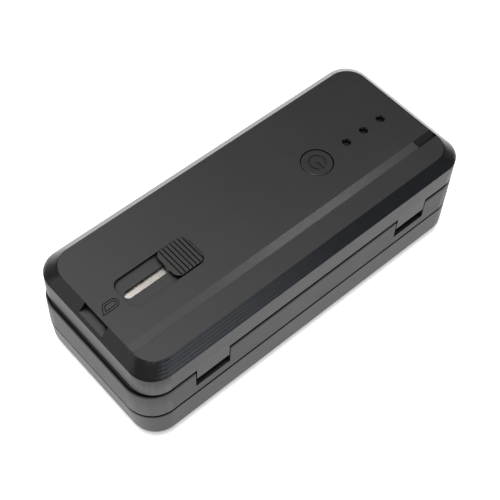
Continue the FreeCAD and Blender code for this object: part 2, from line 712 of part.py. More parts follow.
def cut_port_wall(body):
    """Flap recess in the right end, and the three openings behind it."""
    box(
        body, "flap_seat", "flap_face", "0 - flap_width / 2 - slip", "flap_base",
        "flap_recess + 1", "flap_width + 2 * slip", "flap_height", cut=True,
    )
    box(
        body, "flap_grip", "flap_face", "0 - flap_grip_width / 2", "flap_base + flap_height - 0.2",
        "flap_recess + 1", "flap_grip_width", "flap_grip_height + 0.2", cut=True,
    )
    for sy in (-1, 1):
        start = "flap_width / 2 - 0.5" if sy > 0 else "0 - flap_width / 2 - pin_seat + 0.5"
        rod(
            body, f"flap_pin_seat_{'rear' if sy > 0 else 'front'}", "flap_axis_x", start,
            "flap_axis_z - frame_z", "flap_pin_radius + 0.02", "pin_seat", axis="Y", cut=True,
        )
    ports = [
        ("socket", "socket_offset", "socket_width", "socket_z", "socket_height"),
        ("usb", "usb_offset", "usb_width", "control_top", "usb_height"),
        ("jack", "jack_offset", "jack_width", "control_top", "jack_width"),
    ]
    for name, middle, width, low, height in ports:
        box(
            body, f"{name}_opening", "bay_right - 1", f"{middle} - {width} / 2 - fit",
            f"{low} - frame_z - fit", "end_wall", f"{width} + 2 * fit", f"{height} + 2 * fit", cut=True,
        )


def cut_deck_details(body):
    """Holes for the switch shaft and the indicators, and the two magnet seats."""
    start = "frame_height - deck_sink - deck_thickness - 1"
    rod(
        body, "shaft_hole", "button_x", "0", start, "tact_shaft_radius + slip + 0.1",
        "deck_thickness + 2", cut=True
    )
    for index, x in enumerate(INDICATORS):
        rod(
            body, f"indicator_hole_{index}", x, "0", start, "led_radius + slip",
            "deck_thickness + 2", cut=True
        )
    x, y = MAGNETS[1]
    rod(
        body, "magnet_post", x, y, "frame_height - deck_sink - 0.5", "magnet_radius + 1.2",
        "deck_sink + 0.5",
    )
    for index, (x, y) in enumerate(MAGNETS):
        rod(
            body, f"magnet_seat_{index}", x, y, "frame_height - frame_magnet_thickness",
            "magnet_radius + fit", "frame_magnet_thickness + 1", cut=True,
        )


def make_frame_magnets():
    members = [
        part_rod(
            f"frame_magnet_{index}", x, y, "frame_top - frame_magnet_thickness", "magnet_radius",
            "frame_magnet_thickness",
        )
        for index, (x, y) in enumerate(MAGNETS)
    ]
    return group("frame_magnets", members)


def make_rim_seal():
    """Rubber ring in the groove; it stands up to just below the lid's inner plate."""
    body = new_body("rim_seal", "frame_top - seal_groove_depth")
    sketch = new_sketch(body, "seal_sketch", y=SEAL_MIDDLE)
    add_rounded_rectangle(sketch, *seal_outline("seal_slack"))
    add_rounded_rectangle(sketch, *seal_outline("seal_groove_width - seal_slack"))
    pad(body, "seal", sketch, "plate_z - slip - (frame_top - seal_groove_depth)")
    return body


def make_hinge_pins():
    side = "(lug_width / 2 + recess_side_gap)"
    members = [
        part_rod(
            f"hinge_pin_{name}", f"{x} - {side} - pin_seat + 0.1", "pin_y", "pin_z", "pin_radius",
            f"2 * ({side} + pin_seat) - 0.2", axis="X",
        )
        for name, x in LUGS
    ]
    return group("hinge_pins", members)


# ---------------------------------------------------------------- lid


def make_lid_shell():
    """Bevelled lid with the blade track, exit notch, button and indicator holes and light groove."""
    body = new_body("lid_shell", "lid_z")
    rounded_pad(body, "side_wall", "0", "case_length", "case_width", "corner_radius", "lid_wall_height")
    edge = new_sketch(body, "bevel_sketch", z="lid_wall_height")
    add_rounded_rectangle(edge, "case_length", "case_width", "corner_radius")
    top = new_sketch(body, "top_sketch", z="lid_wall_height + bevel_height")
    add_rounded_rectangle(
        top, "case_length - 2 * bevel_inset", "case_width - 2 * bevel_inset", "top_corner_radius"
    )
    loft(body, "bevel", edge, top)
    rounded_pocket(
        body, "lower_cavity", "0", "case_length - 2 * wall", "case_width - 2 * wall",
        "corner_radius - wall", "lid_wall_height", upward=True,
    )
    inset = "(wall + bevel_inset * (1 - lid_top_thickness / bevel_height))"
    rounded_pocket(
        body, "upper_cavity", "lid_wall_height", f"case_length - 2 * {inset}",
        f"case_width - 2 * {inset}", "corner_radius - wall", "bevel_height - lid_top_thickness",
        upward=True,
    )
    for index, (x, y) in enumerate(LID_SCREWS):
        rod(
            body, f"boss_{index}", x, y, "plate_top - lid_z", "lid_boss_radius",
            "lid_ceiling + 0.5 - plate_top",
        )
        rod(
            body, f"boss_hole_{index}", x, y, "plate_top - lid_z", "small_screw_radius + fit", "8",
            cut=True,
        )
    cut_blade_track(body)
    cut_button_and_indicators(body)
    cut_light_groove(body)
    cut_lug_seats(body)
    engrave_blade_sign(body)
    return body


def cut_blade_track(body):
    top = "(lid_top - lid_z)"
    rounded_pocket(
        body, "track", top, "track_length", "track_width", "track_corner", "track_depth", x="track_middle"
    )
    left = "(track_inset + slot_inset - half_length)"
    right = "(track_right - slot_end_cover)"
    sketch = new_sketch(body, "slot_sketch", x=f"({left} + {right}) / 2", z=f"{top} - track_depth")
    add_slot(sketch, f"{right} - {left}", "slot_width")
    pocket(body, "slot", sketch, "lid_top_thickness")
    box(
        body, "exit_notch", "0 - half_length - 1", "0 - notch_width / 2", "notch_floor - lid_z",
        "bevel_inset + 1", "notch_width", "bevel_height", cut=True,
    )
    box(
        body, "blade_mouth", "bevel_inset - half_length - 0.5", "0 - notch_width / 2",
        "notch_floor - lid_z", "2.5", "notch_width", "mouth_height", cut=True,
    )
    for index, (x, y) in enumerate(GUIDE_SCREWS):
        rod(
            body, f"guide_hole_{index}", x, y, "lid_ceiling - lid_z - 0.5",
            "post_screw_radius * 0.8 + fit", "1.9", cut=True,
        )


def cut_button_and_indicators(body):
    ceiling = "lid_ceiling - lid_z - 1"
    rod(
        body, "button_hole", "button_x", "0", ceiling, "button_radius + slip",
        "lid_top_thickness + 2", cut=True
    )
    for index, x in enumerate(INDICATORS):
        rod(
            body, f"pipe_hole_{index}", x, "0", ceiling, "pipe_radius + 0.1",
            "lid_top_thickness + 2", cut=True
        )
        cone(
            body, f"countersink_{index}", x, "0", "lid_top - lid_z - countersink_depth",
            "pipe_radius + 0.1", "countersink_radius", "countersink_depth",
        )


def cut_light_groove(body):
    """Shallow ramp along the top, deeper at its right end."""
    parts = [
        ("main", "groove_depth", "0 - half_length + bevel_inset", "groove_end_length"),
        ("end", "groove_end_depth", "half_length - bevel_inset - groove_end_length", "0"),
    ]
    for name, depth, start, short in parts:
        sketch = new_sketch(
            body, f"groove_{name}_sketch", x="0 - groove_offset", y=f"lid_top - lid_z - {depth}",
            z=start, role="YZ_Plane",
        )
        add_polygon(sketch, [("0", "0"), ("groove_width", depth), ("0", depth)])
        reach = "groove_end_length"
        if name == "main":
            reach = "case_length - 2 * bevel_inset - groove_end_length"
        pocket(body, f"groove_{name}", sketch, reach, upward=True)


def cut_lug_seats(body):
    for name, x in LUGS:
        box(
            body, f"lug_seat_{name}", f"{x} - lug_width / 2 - fit", "front_face - 1", "0 - 1",
            "lug_width + 2 * fit", "lug_thickness + 1.3", "lug_rise + fit + 1", cut=True,
        )
        for index, sx in enumerate((-1, 1)):
            rod(
                body, f"lug_screw_hole_{name}_{index}", f"{x} + {sx} * tongue_width / 4",
                "front_face + 0.5", "lug_rise + tongue_height * 0.6", "post_screw_radius * 0.8 + fit",
                "wall", axis="Y", cut=True,
            )


def add_blade_sign(sketch, margin):
    """Outline of a slant-tipped blade with a round end, drawn in by margin."""
    radius = f"(icon_width / 2 - {margin})"
    right = "(icon_length - icon_width / 2)"
    slope = f"({margin} * icon_slant / icon_width)"
    shift = f"({margin} * sqrt(icon_width^2 + icon_slant^2) / icon_width)"
    low = FreeCAD.Vector(value(f"{shift} + {slope}"), value(margin), 0)
    high = FreeCAD.Vector(value(f"{shift} + icon_slant - {slope}"), value(f"icon_width - {margin}"), 0)
    centre = FreeCAD.Vector(value(right), value("icon_width / 2"), 0)
    bend = value(radius)
    quarter = FreeCAD.Units.Quantity("90 deg").getValueAs("rad").Value
    arc = Part.ArcOfCircle(Part.Circle(centre, FreeCAD.Vector(0, 0, 1), bend), -quarter, quarter)
    first = len(sketch.Geometry)
    sketch.addGeometry(Part.LineSegment(low, arc.StartPoint))
    sketch.addGeometry(arc)
    sketch.addGeometry(Part.LineSegment(arc.EndPoint, high))
    sketch.addGeometry(Part.LineSegment(high, low))
    for index in range(2):
        sketch.addConstraint(Sketcher.Constraint("Tangent", first + index, 2, first + index + 1, 1))
    sketch.addConstraint(Sketcher.Constraint("Coincident", first + 2, 2, first + 3, 1))
    sketch.addConstraint(Sketcher.Constraint("Coincident", first + 3, 2, first, 1))
    sketch.addConstraint(Sketcher.Constraint("Horizontal", first))
    sketch.addConstraint(Sketcher.Constraint("Horizontal", first + 2))
    tag = f"sign{first}"
    dimension(sketch, Sketcher.Constraint("Radius", first + 1, bend), f"{tag}_radius", radius)
    along = Sketcher.Constraint("DistanceX", -1, 1, first + 1, 3, centre.x)
    dimension(sketch, along, f"{tag}_middle_x", right)
    across = Sketcher.Constraint("DistanceY", -1, 1, first + 1, 3, centre.y)
    dimension(sketch, across, f"{tag}_middle_y", "icon_width / 2")
    tip = Sketcher.Constraint("DistanceX", -1, 1, first, 1, low.x + 1e-3)
    dimension(sketch, tip, f"{tag}_tip", f"{shift} + {slope} + 0.001")
    heel = Sketcher.Constraint("DistanceX", -1, 1, first + 2, 2, high.x)
    dimension(sketch, heel, f"{tag}_heel", f"{shift} + icon_slant - {slope}")


def engrave_blade_sign(body):
    x = "bevel_inset - half_length + icon_end_gap"
    y = "0 - icon_width / 2"
    for name, margin in (("outer", "0"), ("inner", "icon_step")):
        sketch = new_sketch(body, f"blade_sign_{name}_sketch", x=x, y=y, z="lid_top - lid_z")
        add_blade_sign(sketch, margin)
        add_blade_sign(sketch, f"({margin} + icon_line)")
        pocket(body, f"blade_sign_{name}", sketch, "engraving")


def make_lid_inner_plate():
    """Plate that closes the lid from below and guides the button's stem."""
    body = new_body("lid_inner_plate", "plate_z")
    gap = "(wall + 0.15)"
    rounded_pad(
        body, "plate", "0", f"case_length - 2 * {gap}", f"case_width - 2 * {gap}",
        f"corner_radius - {gap}", "plate_thickness",
    )
    rod(body, "spring_seat", "button_x", "0", "0", "stem_radius + 2.2", "plate_thickness + 1")
    rod(body, "stem_hole", "button_x", "0", "0 - 1", "stem_radius + slip", "plate_thickness + 3", cut=True)
    for index, x in enumerate(INDICATORS):
        rod(
            body, f"pipe_hole_{index}", x, "0", "0 - 1", "pipe_radius + 0.1", "plate_thickness + 2",
            cut=True
        )
    for index, (x, y) in enumerate(LID_SCREWS):
        rod(
            body, f"screw_hole_{index}", x, y, "0 - 1", "small_screw_radius + slip",
            "plate_thickness + 2", cut=True
        )
        rod(
            body, f"head_recess_{index}", x, y, "0 - 1", "small_head_radius + slip",
            "small_head_height + 1", cut=True
        )
    for index, (x, y) in enumerate(MAGNETS):
        rod(
            body, f"magnet_hole_{index}", x, y, "0 - 1", "magnet_radius + fit",
            "plate_thickness + 2", cut=True
        )
    for name, x in LUGS:
        box(
            body, f"lug_gap_{name}", f"{x} - lug_width / 2 - slip", "front_face", "0 - 1",
            "lug_width + 2 * slip", "lug_thickness + slip", "plate_thickness + 2", cut=True,
        )
    return body


def make_lid_screws():
    members = [
        screw(
            f"lid_screw_{index}", x, y, "plate_z", "small_head_radius", "small_head_height",
            "small_screw_radius", "8",
        )
        for index, (x, y) in enumerate(LID_SCREWS)
    ]
    return group("lid_screws", members)


def make_lid_magnets():
    members = [
        part_rod(f"lid_magnet_{index}", x, y, "plate_z", "magnet_radius", "plate_thickness")
        for index, (x, y) in enumerate(MAGNETS)
    ]
    return group("lid_magnets", members)


def make_light_pipes():
    members = []
    for index, x in enumerate(INDICATORS):
        rod_part = part_rod(
            f"pipe_rod_{index}", x, "0", "plate_z", "pipe_radius", "lid_top - pipe_recess - plate_z"
        )
        collar = part_rod(f"pipe_collar_{index}", x, "0", "plate_top", "pipe_radius + 0.8", "1")
        members.append(fuse(f"light_pipe_{index}", rod_part, collar))
    return group("light_pipes", members)


def make_hinge_lug(name, x):
    """Lug that hangs from the lid's front edge, bored for the hinge pin."""
    body = new_body(f"hinge_lug_{name}", "lug_bottom")
    block = box(
        body, "block", f"{x} - lug_width / 2", "front_face", "0", "lug_width", "lug_thickness",
        "lug_drop + lug_rise",
    )
    inner = value("front_face + lug_thickness")
    rounded = edges_where(
        block,
        lambda edge: at_height(0)(edge)
        and abs(edge.BoundBox.YMin - inner) < 1e-6
        and edge.BoundBox.XLength > 1,
    )
    fillet(body, "heel", block, rounded, "pin_rise * 0.8")
    box(
        body, "tongue", f"{x} - tongue_width / 2", "front_face + wall + 0.05", "lug_drop + lug_rise - 1",
        "tongue_width", "tongue_thickness", "tongue_height + 1",
    )
    rod(
        body, "pin_bore", f"{x} - lug_width / 2 - 1", "pin_y", "pin_rise", "pin_radius + fit",
        "lug_width + 2", axis="X", cut=True,
    )
    for index, sx in enumerate((-1, 1)):
        rod(
            body, f"screw_hole_{index}", f"{x} + {sx} * tongue_width / 4", "front_face + wall - 1",
            "lug_drop + lug_rise + tongue_height * 0.6", "post_screw_radius * 0.8 + fit",
            "tongue_thickness + 2", axis="Y", cut=True,
        )
    return body


def make_lug_screws():
    """Short screws from inside the lid, through each lug's tongue into the front wall."""
    members = []
    for name, x in LUGS:
        for index, sx in enumerate((-1, 1)):
            middle = f"{x} + {sx} * tongue_width / 4"
            z = "lid_z + lug_rise + tongue_height * 0.6"
            inner = "front_face + wall + 0.05 + tongue_thickness"
            head = part_rod(
                f"lug_head_{name}_{index}", middle, inner, z, "post_screw_radius * 1.7", "0.8",
                axis="Y"
            )
            shank = part_rod(
                f"lug_shank_{name}_{index}", middle, "front_face + 0.6", z,
                "post_screw_radius * 0.8", f"{inner} - (front_face + 0.6)", axis="Y",
            )
            members.append(fuse(f"lug_screw_{name}_{index}", head, shank))
    return group("lug_screws", members)


# ---------------------------------------------------------------- cutter


def make_blade_guide():
    """Channel under the lid's top in which the carrier runs, with a flange screwed to the lid."""
    body = new_body("blade_guide", "guide_z")
    half = "(guide_inside + guide_wall)"
    length = "guide_right - guide_left"
    height = "(lid_ceiling - guide_z)"
    box(body, "channel", "guide_left", f"0 - {half}", "0", length, f"2 * {half}", height)
    box(
        body, "flange", "guide_left", f"0 - {half} - guide_flange", f"{height} - guide_flange_thickness",
        length, f"2 * ({half} + guide_flange)", "guide_flange_thickness",
    )
    box(
        body, "run", "guide_left - 1", "0 - guide_inside", "blade_z - slip * 0.7 - guide_z",
        f"{length} + 2", "2 * guide_inside", height, cut=True,
    )
    box(
        body, "carrier_run", "slider_middle - slider_length / 2 - track_length + slider_length - 1",
        "0 - guide_inside", "guide_floor", "track_length + slider_length + 20", "2 * guide_inside",
        height, cut=True,
    )
    for index, (x, y) in enumerate(GUIDE_SCREWS):
        rod(
            body, f"screw_hole_{index}", x, y, f"{height} - guide_flange_thickness - 1",
            "post_screw_radius * 0.8 + fit", "guide_flange_thickness + 2", cut=True,
        )
    return body


def make_guide_screws():
    members = []
    for index, (x, y) in enumerate(GUIDE_SCREWS):
        head_z = "lid_ceiling - guide_flange_thickness - 0.8"
        head = part_rod(f"guide_head_{index}", x, y, head_z, "post_screw_radius * 1.5", "0.8")
        shank = part_rod(
            f"guide_shank_{index}", x, y, "lid_ceiling - guide_flange_thickness",
            "post_screw_radius * 0.8", "guide_flange_thickness + 1.3",
        )
        members.append(fuse(f"guide_screw_{index}", head, shank))
    return group("guide_screws", members)


def make_cutter_blade():
    """Slant-tipped steel strip with a window for the slider's neck and a ground edge."""
    body = new_body("cutter_blade", "blade_z")
    sketch = new_sketch(body, "strip_sketch", x="blade_left", y="0 - blade_width / 2")
    length = "(blade_right - blade_left)"
    add_polygon(
        sketch, [("0", "0"), (length, "0"), (length, "blade_width"), ("blade_slant", "blade_width")]
    )
    strip = pad(body, "strip", sketch, "blade_thickness")
    ground = edges_where(strip, lambda edge: at_height(value("blade_thickness"))(edge) and slanted(edge))
    bevel = chamfer(body, "ground_edge", strip, ground, "blade_thickness * 0.8")
    bevel.ChamferType = "Two distances"
    bind(bevel, Size2="blade_thickness * 2")
    box(
        body, "window", "slider_middle - neck_length / 2 - fit", "0 - neck_width / 2 - fit", "0 - 1",
        "neck_length + 2 * fit", "neck_width + 2 * fit", "blade_thickness + 2", cut=True,
    )
    return body


def slanted(edge):
    """True for an edge that runs neither along X nor along Y."""
    return edge.BoundBox.XLength > 1 and edge.BoundBox.YLength > 1


def make_blade_carrier():
    """Runner below the blade; the screw pulls it up against the slider's neck."""
    body = new_body("blade_carrier", "carrier_z")
    box(
        body, "runner", "slider_middle - slider_length / 2 + slip", "slip - guide_inside", "0",
        "slider_length - 2 * slip", "2 * (guide_inside - slip)", "carrier_thickness",
    )
    rod(
        body, "screw_hole", "slider_middle", "0", "0 - 1", "small_screw_radius + fit",
        "carrier_thickness + 2", cut=True
    )
    rod(
        body, "head_recess", "slider_middle", "0", "0 - 1", "small_head_radius + fit",
        "small_head_height + 1", cut=True
    )
    return body


def make_carrier_screw():
    item = screw(
        "carrier_screw", "slider_middle", "0", "carrier_z", "small_head_radius", "small_head_height",
        "small_screw_radius", "track_floor + 0.4 - carrier_z - small_head_height",
    )
    return named(item, "carrier_screw")


def make_blade_slider():
    """Ribbed thumb piece in the track, with a neck down through the slot."""
    body = new_body("blade_slider", "track_floor + slip / 2")
    height = "(track_depth - slip / 2 + slider_proud)"
    block = rounded_pad(
        body, "thumb_piece", "0", "slider_length", "track_width - 2 * slip", "slider_corner", height,
        x="slider_middle",
    )
    fillet(body, "soft_edge", block, edges_where(block, at_height(value(height))), "slip")
    start = "slider_middle - slider_length / 2 + 1.9"
    groove = box(
        body, "rib_groove_cut", start, "0 - track_width / 2", f"{height} - rib_groove",
        "rib_groove", "track_width", "rib_groove + 1", cut=True,
    )
    row_of(body, "rib_grooves", groove, "X_Axis", "6 * rib_pitch", 7)
    depth = "track_floor + slip / 2 - blade_z"
    box(
        body, "neck", "slider_middle - neck_length / 2", "0 - neck_width / 2", f"0 - ({depth})",
        "neck_length", "neck_width", f"{depth} + 0.3",
    )
    rod(
        body, "screw_bore", "slider_middle", "0", f"0 - ({depth}) - 1", "small_screw_radius + fit",
        f"{depth} + 1 + 0.4", cut=True,
    )
    return body


# ---------------------------------------------------------------- power button


def make_power_button():
    """Round button with a retaining flange, a long stem and an engraved on-off sign."""
    body = new_body("power_button", "stem_end")
    flange_z = "(lid_ceiling - slip - button_flange_thickness - stem_end)"
    rod(body, "stem", "button_x", "0", "0", "stem_radius", f"{flange_z} + 0.5")
    rod(
        body, "flange", "button_x", "0", flange_z, "button_radius + button_flange",
        "button_flange_thickness"
    )
    cap_top = "(lid_top - button_sink - stem_end)"
    cap = rod(body, "cap", "button_x", "0", flange_z, "button_radius", f"{cap_top} - {flange_z}")
    rim = edges_where(cap, at_height(value(cap_top)))
    fillet(body, "cap_edge", cap, rim, "slip")
    sketch = new_sketch(body, "sign_sketch", x="button_x", z=cap_top)
    up = FreeCAD.Vector(0, 0, 1)
    open_half = FreeCAD.Units.Quantity("32 deg").getValueAs("rad").Value
    quarter = FreeCAD.Units.Quantity("90 deg").getValueAs("rad").Value
    inner = Part.ArcOfCircle(
        Part.Circle(FreeCAD.Vector(), up, value("sign_inner_radius")), open_half - quarter,
        3 * quarter - open_half
    )
    outer = Part.ArcOfCircle(
        Part.Circle(FreeCAD.Vector(), up, value("sign_outer_radius")), open_half - quarter,
        3 * quarter - open_half
    )
    for item in (inner, outer):
        sketch.addGeometry(item)
    sketch.addGeometry(Part.LineSegment(inner.StartPoint, outer.StartPoint))
    sketch.addGeometry(Part.LineSegment(inner.EndPoint, outer.EndPoint))
    pairs = [(0, 1, 2, 1), (1, 1, 2, 2), (0, 2, 3, 1), (1, 2, 3, 2)]
    for first, first_end, second, second_end in pairs:
        sketch.addConstraint(Sketcher.Constraint("Coincident", first, first_end, second, second_end))
    for index, radius in ((0, "sign_inner_radius"), (1, "sign_outer_radius")):
        sketch.addConstraint(Sketcher.Constraint("Coincident", index, 3, -1, 1))
        ring = Sketcher.Constraint("Radius", index, value(radius))
        dimension(sketch, ring, f"ring{index}", radius)
    for index in (2, 3):
        sketch.addConstraint(Sketcher.Constraint("PointOnObject", -1, 1, index))
    pocket(body, "sign_ring", sketch, "engraving")
    box(
        body, "sign_bar", "button_x - sign_bar_width / 2", "0 - sign_outer_radius",
        f"{cap_top} - engraving", "sign_bar_width", "sign_outer_radius", "engraving + 1", cut=True,
    )
    return body


def make_button_spring():
    """Coil between the plate's spring seat and the button's flange."""
    body = new_body("button_spring", "plate_top + 1 + spring_wire / 2")
    sketch = new_sketch(body, "wire_sketch", x="0", y="0", role="XZ_Plane")
    radius = value("spring_wire / 2")
    middle = value("stem_radius + 0.9")
    sketch.addGeometry(Part.Circle(FreeCAD.Vector(middle, 0, 0), FreeCAD.Vector(0, 0, 1), radius))
    sketch.addConstraint(Sketcher.Constraint("PointOnObject", 0, 3, -1))
    dimension(sketch, Sketcher.Constraint("Radius", 0, radius), "wire", "spring_wire / 2")
    reach = Sketcher.Constraint("DistanceX", -1, 1, 0, 3, middle)
    dimension(sketch, reach, "coil", "stem_radius + 0.9")
    coil = body.newObject("PartDesign::AdditiveHelix", "coil")
    coil.Profile = sketch
    coil.ReferenceAxis = (origin_feature(body, "Z_Axis"), [""])
    coil.Mode = 2
    height = "(lid_ceiling - slip - button_flange_thickness - plate_top - 1 - spring_wire - 0.02)"
    bind(coil, Height=height, Turns="spring_coils")
    body.setExpression("Placement.Base.x", expression("button_x"))
    return body


# ---------------------------------------------------------------- ports


def make_port_cover():
    """Rubber flap over the ports, hinged at its lower edge."""
    body = new_body("port_cover", "flap_axis_z")
    top = "flap_z + flap_height - slip - flap_axis_z"
    slab = box(
        body, "slab", "band_end - flap_thickness", "0 - flap_width / 2", "0", "flap_thickness",
        "flap_width", top,
    )
    outer = value("band_end")
    edges = edges_where(
        slab,
        lambda edge: abs(edge.BoundBox.XMin - outer) < 1e-6 and edge.BoundBox.ZMax > value(top) - 1e-6,
    )
    fillet(body, "soft_edge", slab, edges, "slip")
    rod(body, "knuckle", "flap_axis_x", "0 - flap_width / 2", "0", "flap_knuckle", "flap_width", axis="Y")
    rod(
        body, "pin_bore", "flap_axis_x", "0 - flap_width / 2 - 1", "0", "flap_pin_radius + fit",
        "flap_width + 2", axis="Y", cut=True,
    )
    return body


def make_port_cover_pin():
    reach = "(flap_width / 2 - 0.5 + pin_seat - 0.1)"
    item = part_rod(
        "port_cover_pin", "flap_axis_x", f"0 - {reach}", "flap_axis_z", "flap_pin_radius",
        f"2 * {reach}", axis="Y",
    )
    return named(item, "port_cover_pin")


def make_output_socket():
    """Keyed high-current socket with a deep mouth and two bores for its contacts."""
    body = new_body("output_socket", "socket_z")
    block = box(
        body, "housing", "socket_back", "socket_offset - socket_width / 2", "0", "socket_length",
        "socket_width", "socket_height",
    )
    low = value("socket_offset - socket_width / 2")
    keyed = edges_where(
        block,
        lambda edge: edge.BoundBox.XLength > 1 and abs(edge.BoundBox.YMin - low) < 1e-6
        and edge.BoundBox.YLength < 1e-6,
    )
    chamfer(body, "key", block, keyed, "socket_wall * 2")
    box(
        body, "mouth", "flap_face - contact_free_depth - 6",
        "socket_offset - socket_width / 2 + socket_wall * 2",
        "socket_wall", "contact_free_depth + 7", "socket_width - 3 * socket_wall",
        "socket_height - 2 * socket_wall", cut=True,
    )
    for index, sy in enumerate((-1, 1)):
        rod(
            body, f"contact_bore_{index}", "socket_back - 1", f"socket_offset + {sy} * contact_pitch / 2",
            "socket_height / 2", "contact_radius + fit", "socket_length", axis="X", cut=True,
        )
    return body


def make_output_contacts():
    members = []
    for index, sy in enumerate((-1, 1)):
        y = f"socket_offset + {sy} * contact_pitch / 2"
        z = "socket_z + socket_height / 2"
        start = "(socket_back - contact_tail)"
        pin = part_rod(
            f"contact_pin_{index}", start, y, z, "contact_radius",
            f"flap_face - contact_free_depth - {start}", axis="X",
        )
        bore = part_rod(
            f"contact_hollow_{index}", "flap_face - contact_free_depth - 5", y, z,
            "contact_radius * 0.55", "6", axis="X",
        )
        members.append(cut(f"contact_{index}", pin, bore))
    return group("output_contacts", members)


def make_output_straps():
    """Copper straps from the contacts' tails down to the main board."""
    members = []
    for index, sy in enumerate((-1, 1)):
        y = f"socket_offset + {sy} * contact_pitch / 2 - strap_width / 2"
        x = "socket_back - contact_tail - strap_thickness"
        top = "socket_z + socket_height / 2 + contact_radius"
        upright = part_box(
            f"strap_upright_{index}", x, y, "main_top", "strap_thickness", "strap_width",
            f"{top} - main_top"
        )
        foot = part_box(
            f"strap_foot_{index}", f"{x} - 1.8", y, "main_top", "3", "strap_width",
            "strap_thickness"
        )
        members.append(fuse(f"strap_{index}", upright, foot))
    return group("output_straps", members)


def make_usb_port():
    """Steel shell, open at its mouth, and the plastic tongue with four contacts."""
    left = "(flap_face - usb_length)"
    low = "(usb_offset - usb_width / 2)"
    shell = part_box("usb_block", left, low, "control_top", "usb_length", "usb_width", "usb_height")
    hollow = part_box(
        "usb_hollow", f"{left} + usb_wall", f"{low} + usb_wall", "control_top + usb_wall",
        "usb_length", "usb_width - 2 * usb_wall", "usb_height - 2 * usb_wall",
    )
    named(cut("usb_shell", shell, hollow), "usb_shell")
    ceiling = "(control_top + usb_height - usb_wall - 0.6)"
    bar = part_box(
        "usb_tongue_bar", f"{left} + usb_wall", f"{low} + 1.3", f"{ceiling} - usb_tongue_thickness",
        "usb_length - usb_wall - usb_tongue_setback", "usb_width - 2.6", "usb_tongue_thickness",
    )
    back = part_box(
        "usb_tongue_back", f"{left} + usb_wall", f"{low} + usb_wall + 0.05",
        "control_top + usb_wall + 0.05",
        "2", "usb_width - 2 * usb_wall - 0.1", "usb_height - 2 * usb_wall - 0.1",
    )
    named(fuse("usb_tongue", bar, back), "usb_tongue")
    members = [
        part_box(
            f"usb_contact_{index}", f"{left} + 2 + usb_wall", f"usb_offset + {step} * 2.2 - 0.5",
            f"{ceiling} - usb_tongue_thickness - 0.15", "usb_length - usb_tongue_setback - 4", "1", "0.15",
        )
        for index, step in enumerate((-1.5, -0.5, 0.5, 1.5))
    ]
    group("usb_contacts", members)


def make_charging_jack():
    left = "(flap_face - jack_length)"
    block = part_box(
        "jack_block", left, "jack_offset - jack_width / 2", "control_top", "jack_length",
        "jack_width", "jack_width"
    )
    z = "control_top + jack_width / 2"
    bore = part_rod(
        "jack_bore_tool", "flap_face - jack_depth", "jack_offset", z, "jack_bore", "jack_depth + 1",
        axis="X"
    )
    seat = part_rod(
        "jack_pin_seat", "flap_face - jack_depth - 2", "jack_offset", z, "jack_pin_radius + 0.02",
        "3", axis="X"
    )
    named(cut("charging_jack", block, fuse("jack_hollow", bore, seat)), "charging_jack")
    pin = part_rod(
        "jack_pin", "flap_face - jack_depth - 2", "jack_offset", z, "jack_pin_radius",
        "jack_depth + 2 - jack_pin_setback", axis="X",
    )
    named(pin, "jack_pin")


# ---------------------------------------------------------------- control board


def make_control_board():
    body = new_body("control_board", "control_z")
    box(
        body, "port_strip", "main_left", "0 - control_board_front", "0",
        "band_end - control_board_inset - main_left", "control_board_rear + control_board_front",
        "board_thickness",
    )
    box(
        body, "wing", "main_left", "0 - control_wing_front", "0", "control_wing_length",
        "control_wing_front - control_board_front + 1", "board_thickness",
    )
    for index, (x, y) in enumerate(CONTROL_POSTS):
        rod(
            body, f"hole_{index}", x, y, "0 - 1", "post_screw_radius + fit", "board_thickness + 2",
            cut=True
        )
    return body


def make_control_board_screws():
    members = []
    for index, (x, y) in enumerate(CONTROL_POSTS):
        head = part_rod(f"control_head_{index}", x, y, "control_z - 0.8", "post_screw_radius * 1.9", "0.8")
        shank = part_rod(
            f"control_shank_{index}", x, y, "control_z", "post_screw_radius", "board_thickness + 4"
        )
        members.append(fuse(f"control_screw_{index}", head, shank))
    return group("control_board_screws", members)


def make_tact_switch():
    """Switch body on the control board, and the long shaft that the button's stem presses."""
    block = part_box(
        "tact_switch_block", "button_x - tact_width / 2", "0 - tact_width / 2", "control_top",
        "tact_width", "tact_width", "tact_height",
    )
    named(block, "tact_switch")
    shaft = part_rod(
        "tact_shaft", "button_x", "0", "control_top + tact_height", "tact_shaft_radius",
        "tact_top - control_top - tact_height",
    )
    named(shaft, "tact_shaft")


def make_status_leds():
    leds = []
    spacers = []
    for index, x in enumerate(INDICATORS):
        low = "(control_top + led_spacer_height)"
        stem = part_rod(f"led_stem_{index}", x, "0", low, "led_radius", "led_height - led_radius")
        dome = doc.addObject("Part::Sphere", f"led_dome_{index}")
        bind(dome, Radius="led_radius")
        place(dome, x, "0", f"{low} + led_height - led_radius")
        leds.append(fuse(f"led_{index}", stem, dome))
        spacers.append(part_rod(
            f"led_spacer_{index}", x, "0", "control_top", "led_spacer_radius", "led_spacer_height"
        ))
    group("status_leds", leds)
    group("led_spacers", spacers)


# ---------------------------------------------------------------- main board


def make_main_board():
    body = new_body("main_board", "main_z")
    box(
        body, "board", "main_left", "0 - main_board_width / 2", "0", "main_board_length",
        "main_board_width", "board_thickness",
    )
    for index, (x, y) in enumerate(MAIN_BOARD_HOLES):
        rod(
            body, f"hole_{index}", x, y, "0 - 1", "post_screw_radius + fit", "board_thickness + 2",
            cut=True
        )
    return body


def make_main_board_screws():
    members = []
    for index, (x, y) in enumerate(MAIN_BOARD_HOLES):
        shank = part_rod(
            f"main_shank_{index}", x, y, "main_top - board_thickness - standoff_height + 0.5",
            "post_screw_radius", "board_thickness + standoff_height - 0.5",
        )
        head = part_rod(f"main_head_{index}", x, y, "main_top", "post_screw_radius * 2", "1")
        members.append(fuse(f"main_screw_{index}", head, shank))
    return group("main_board_screws", members)


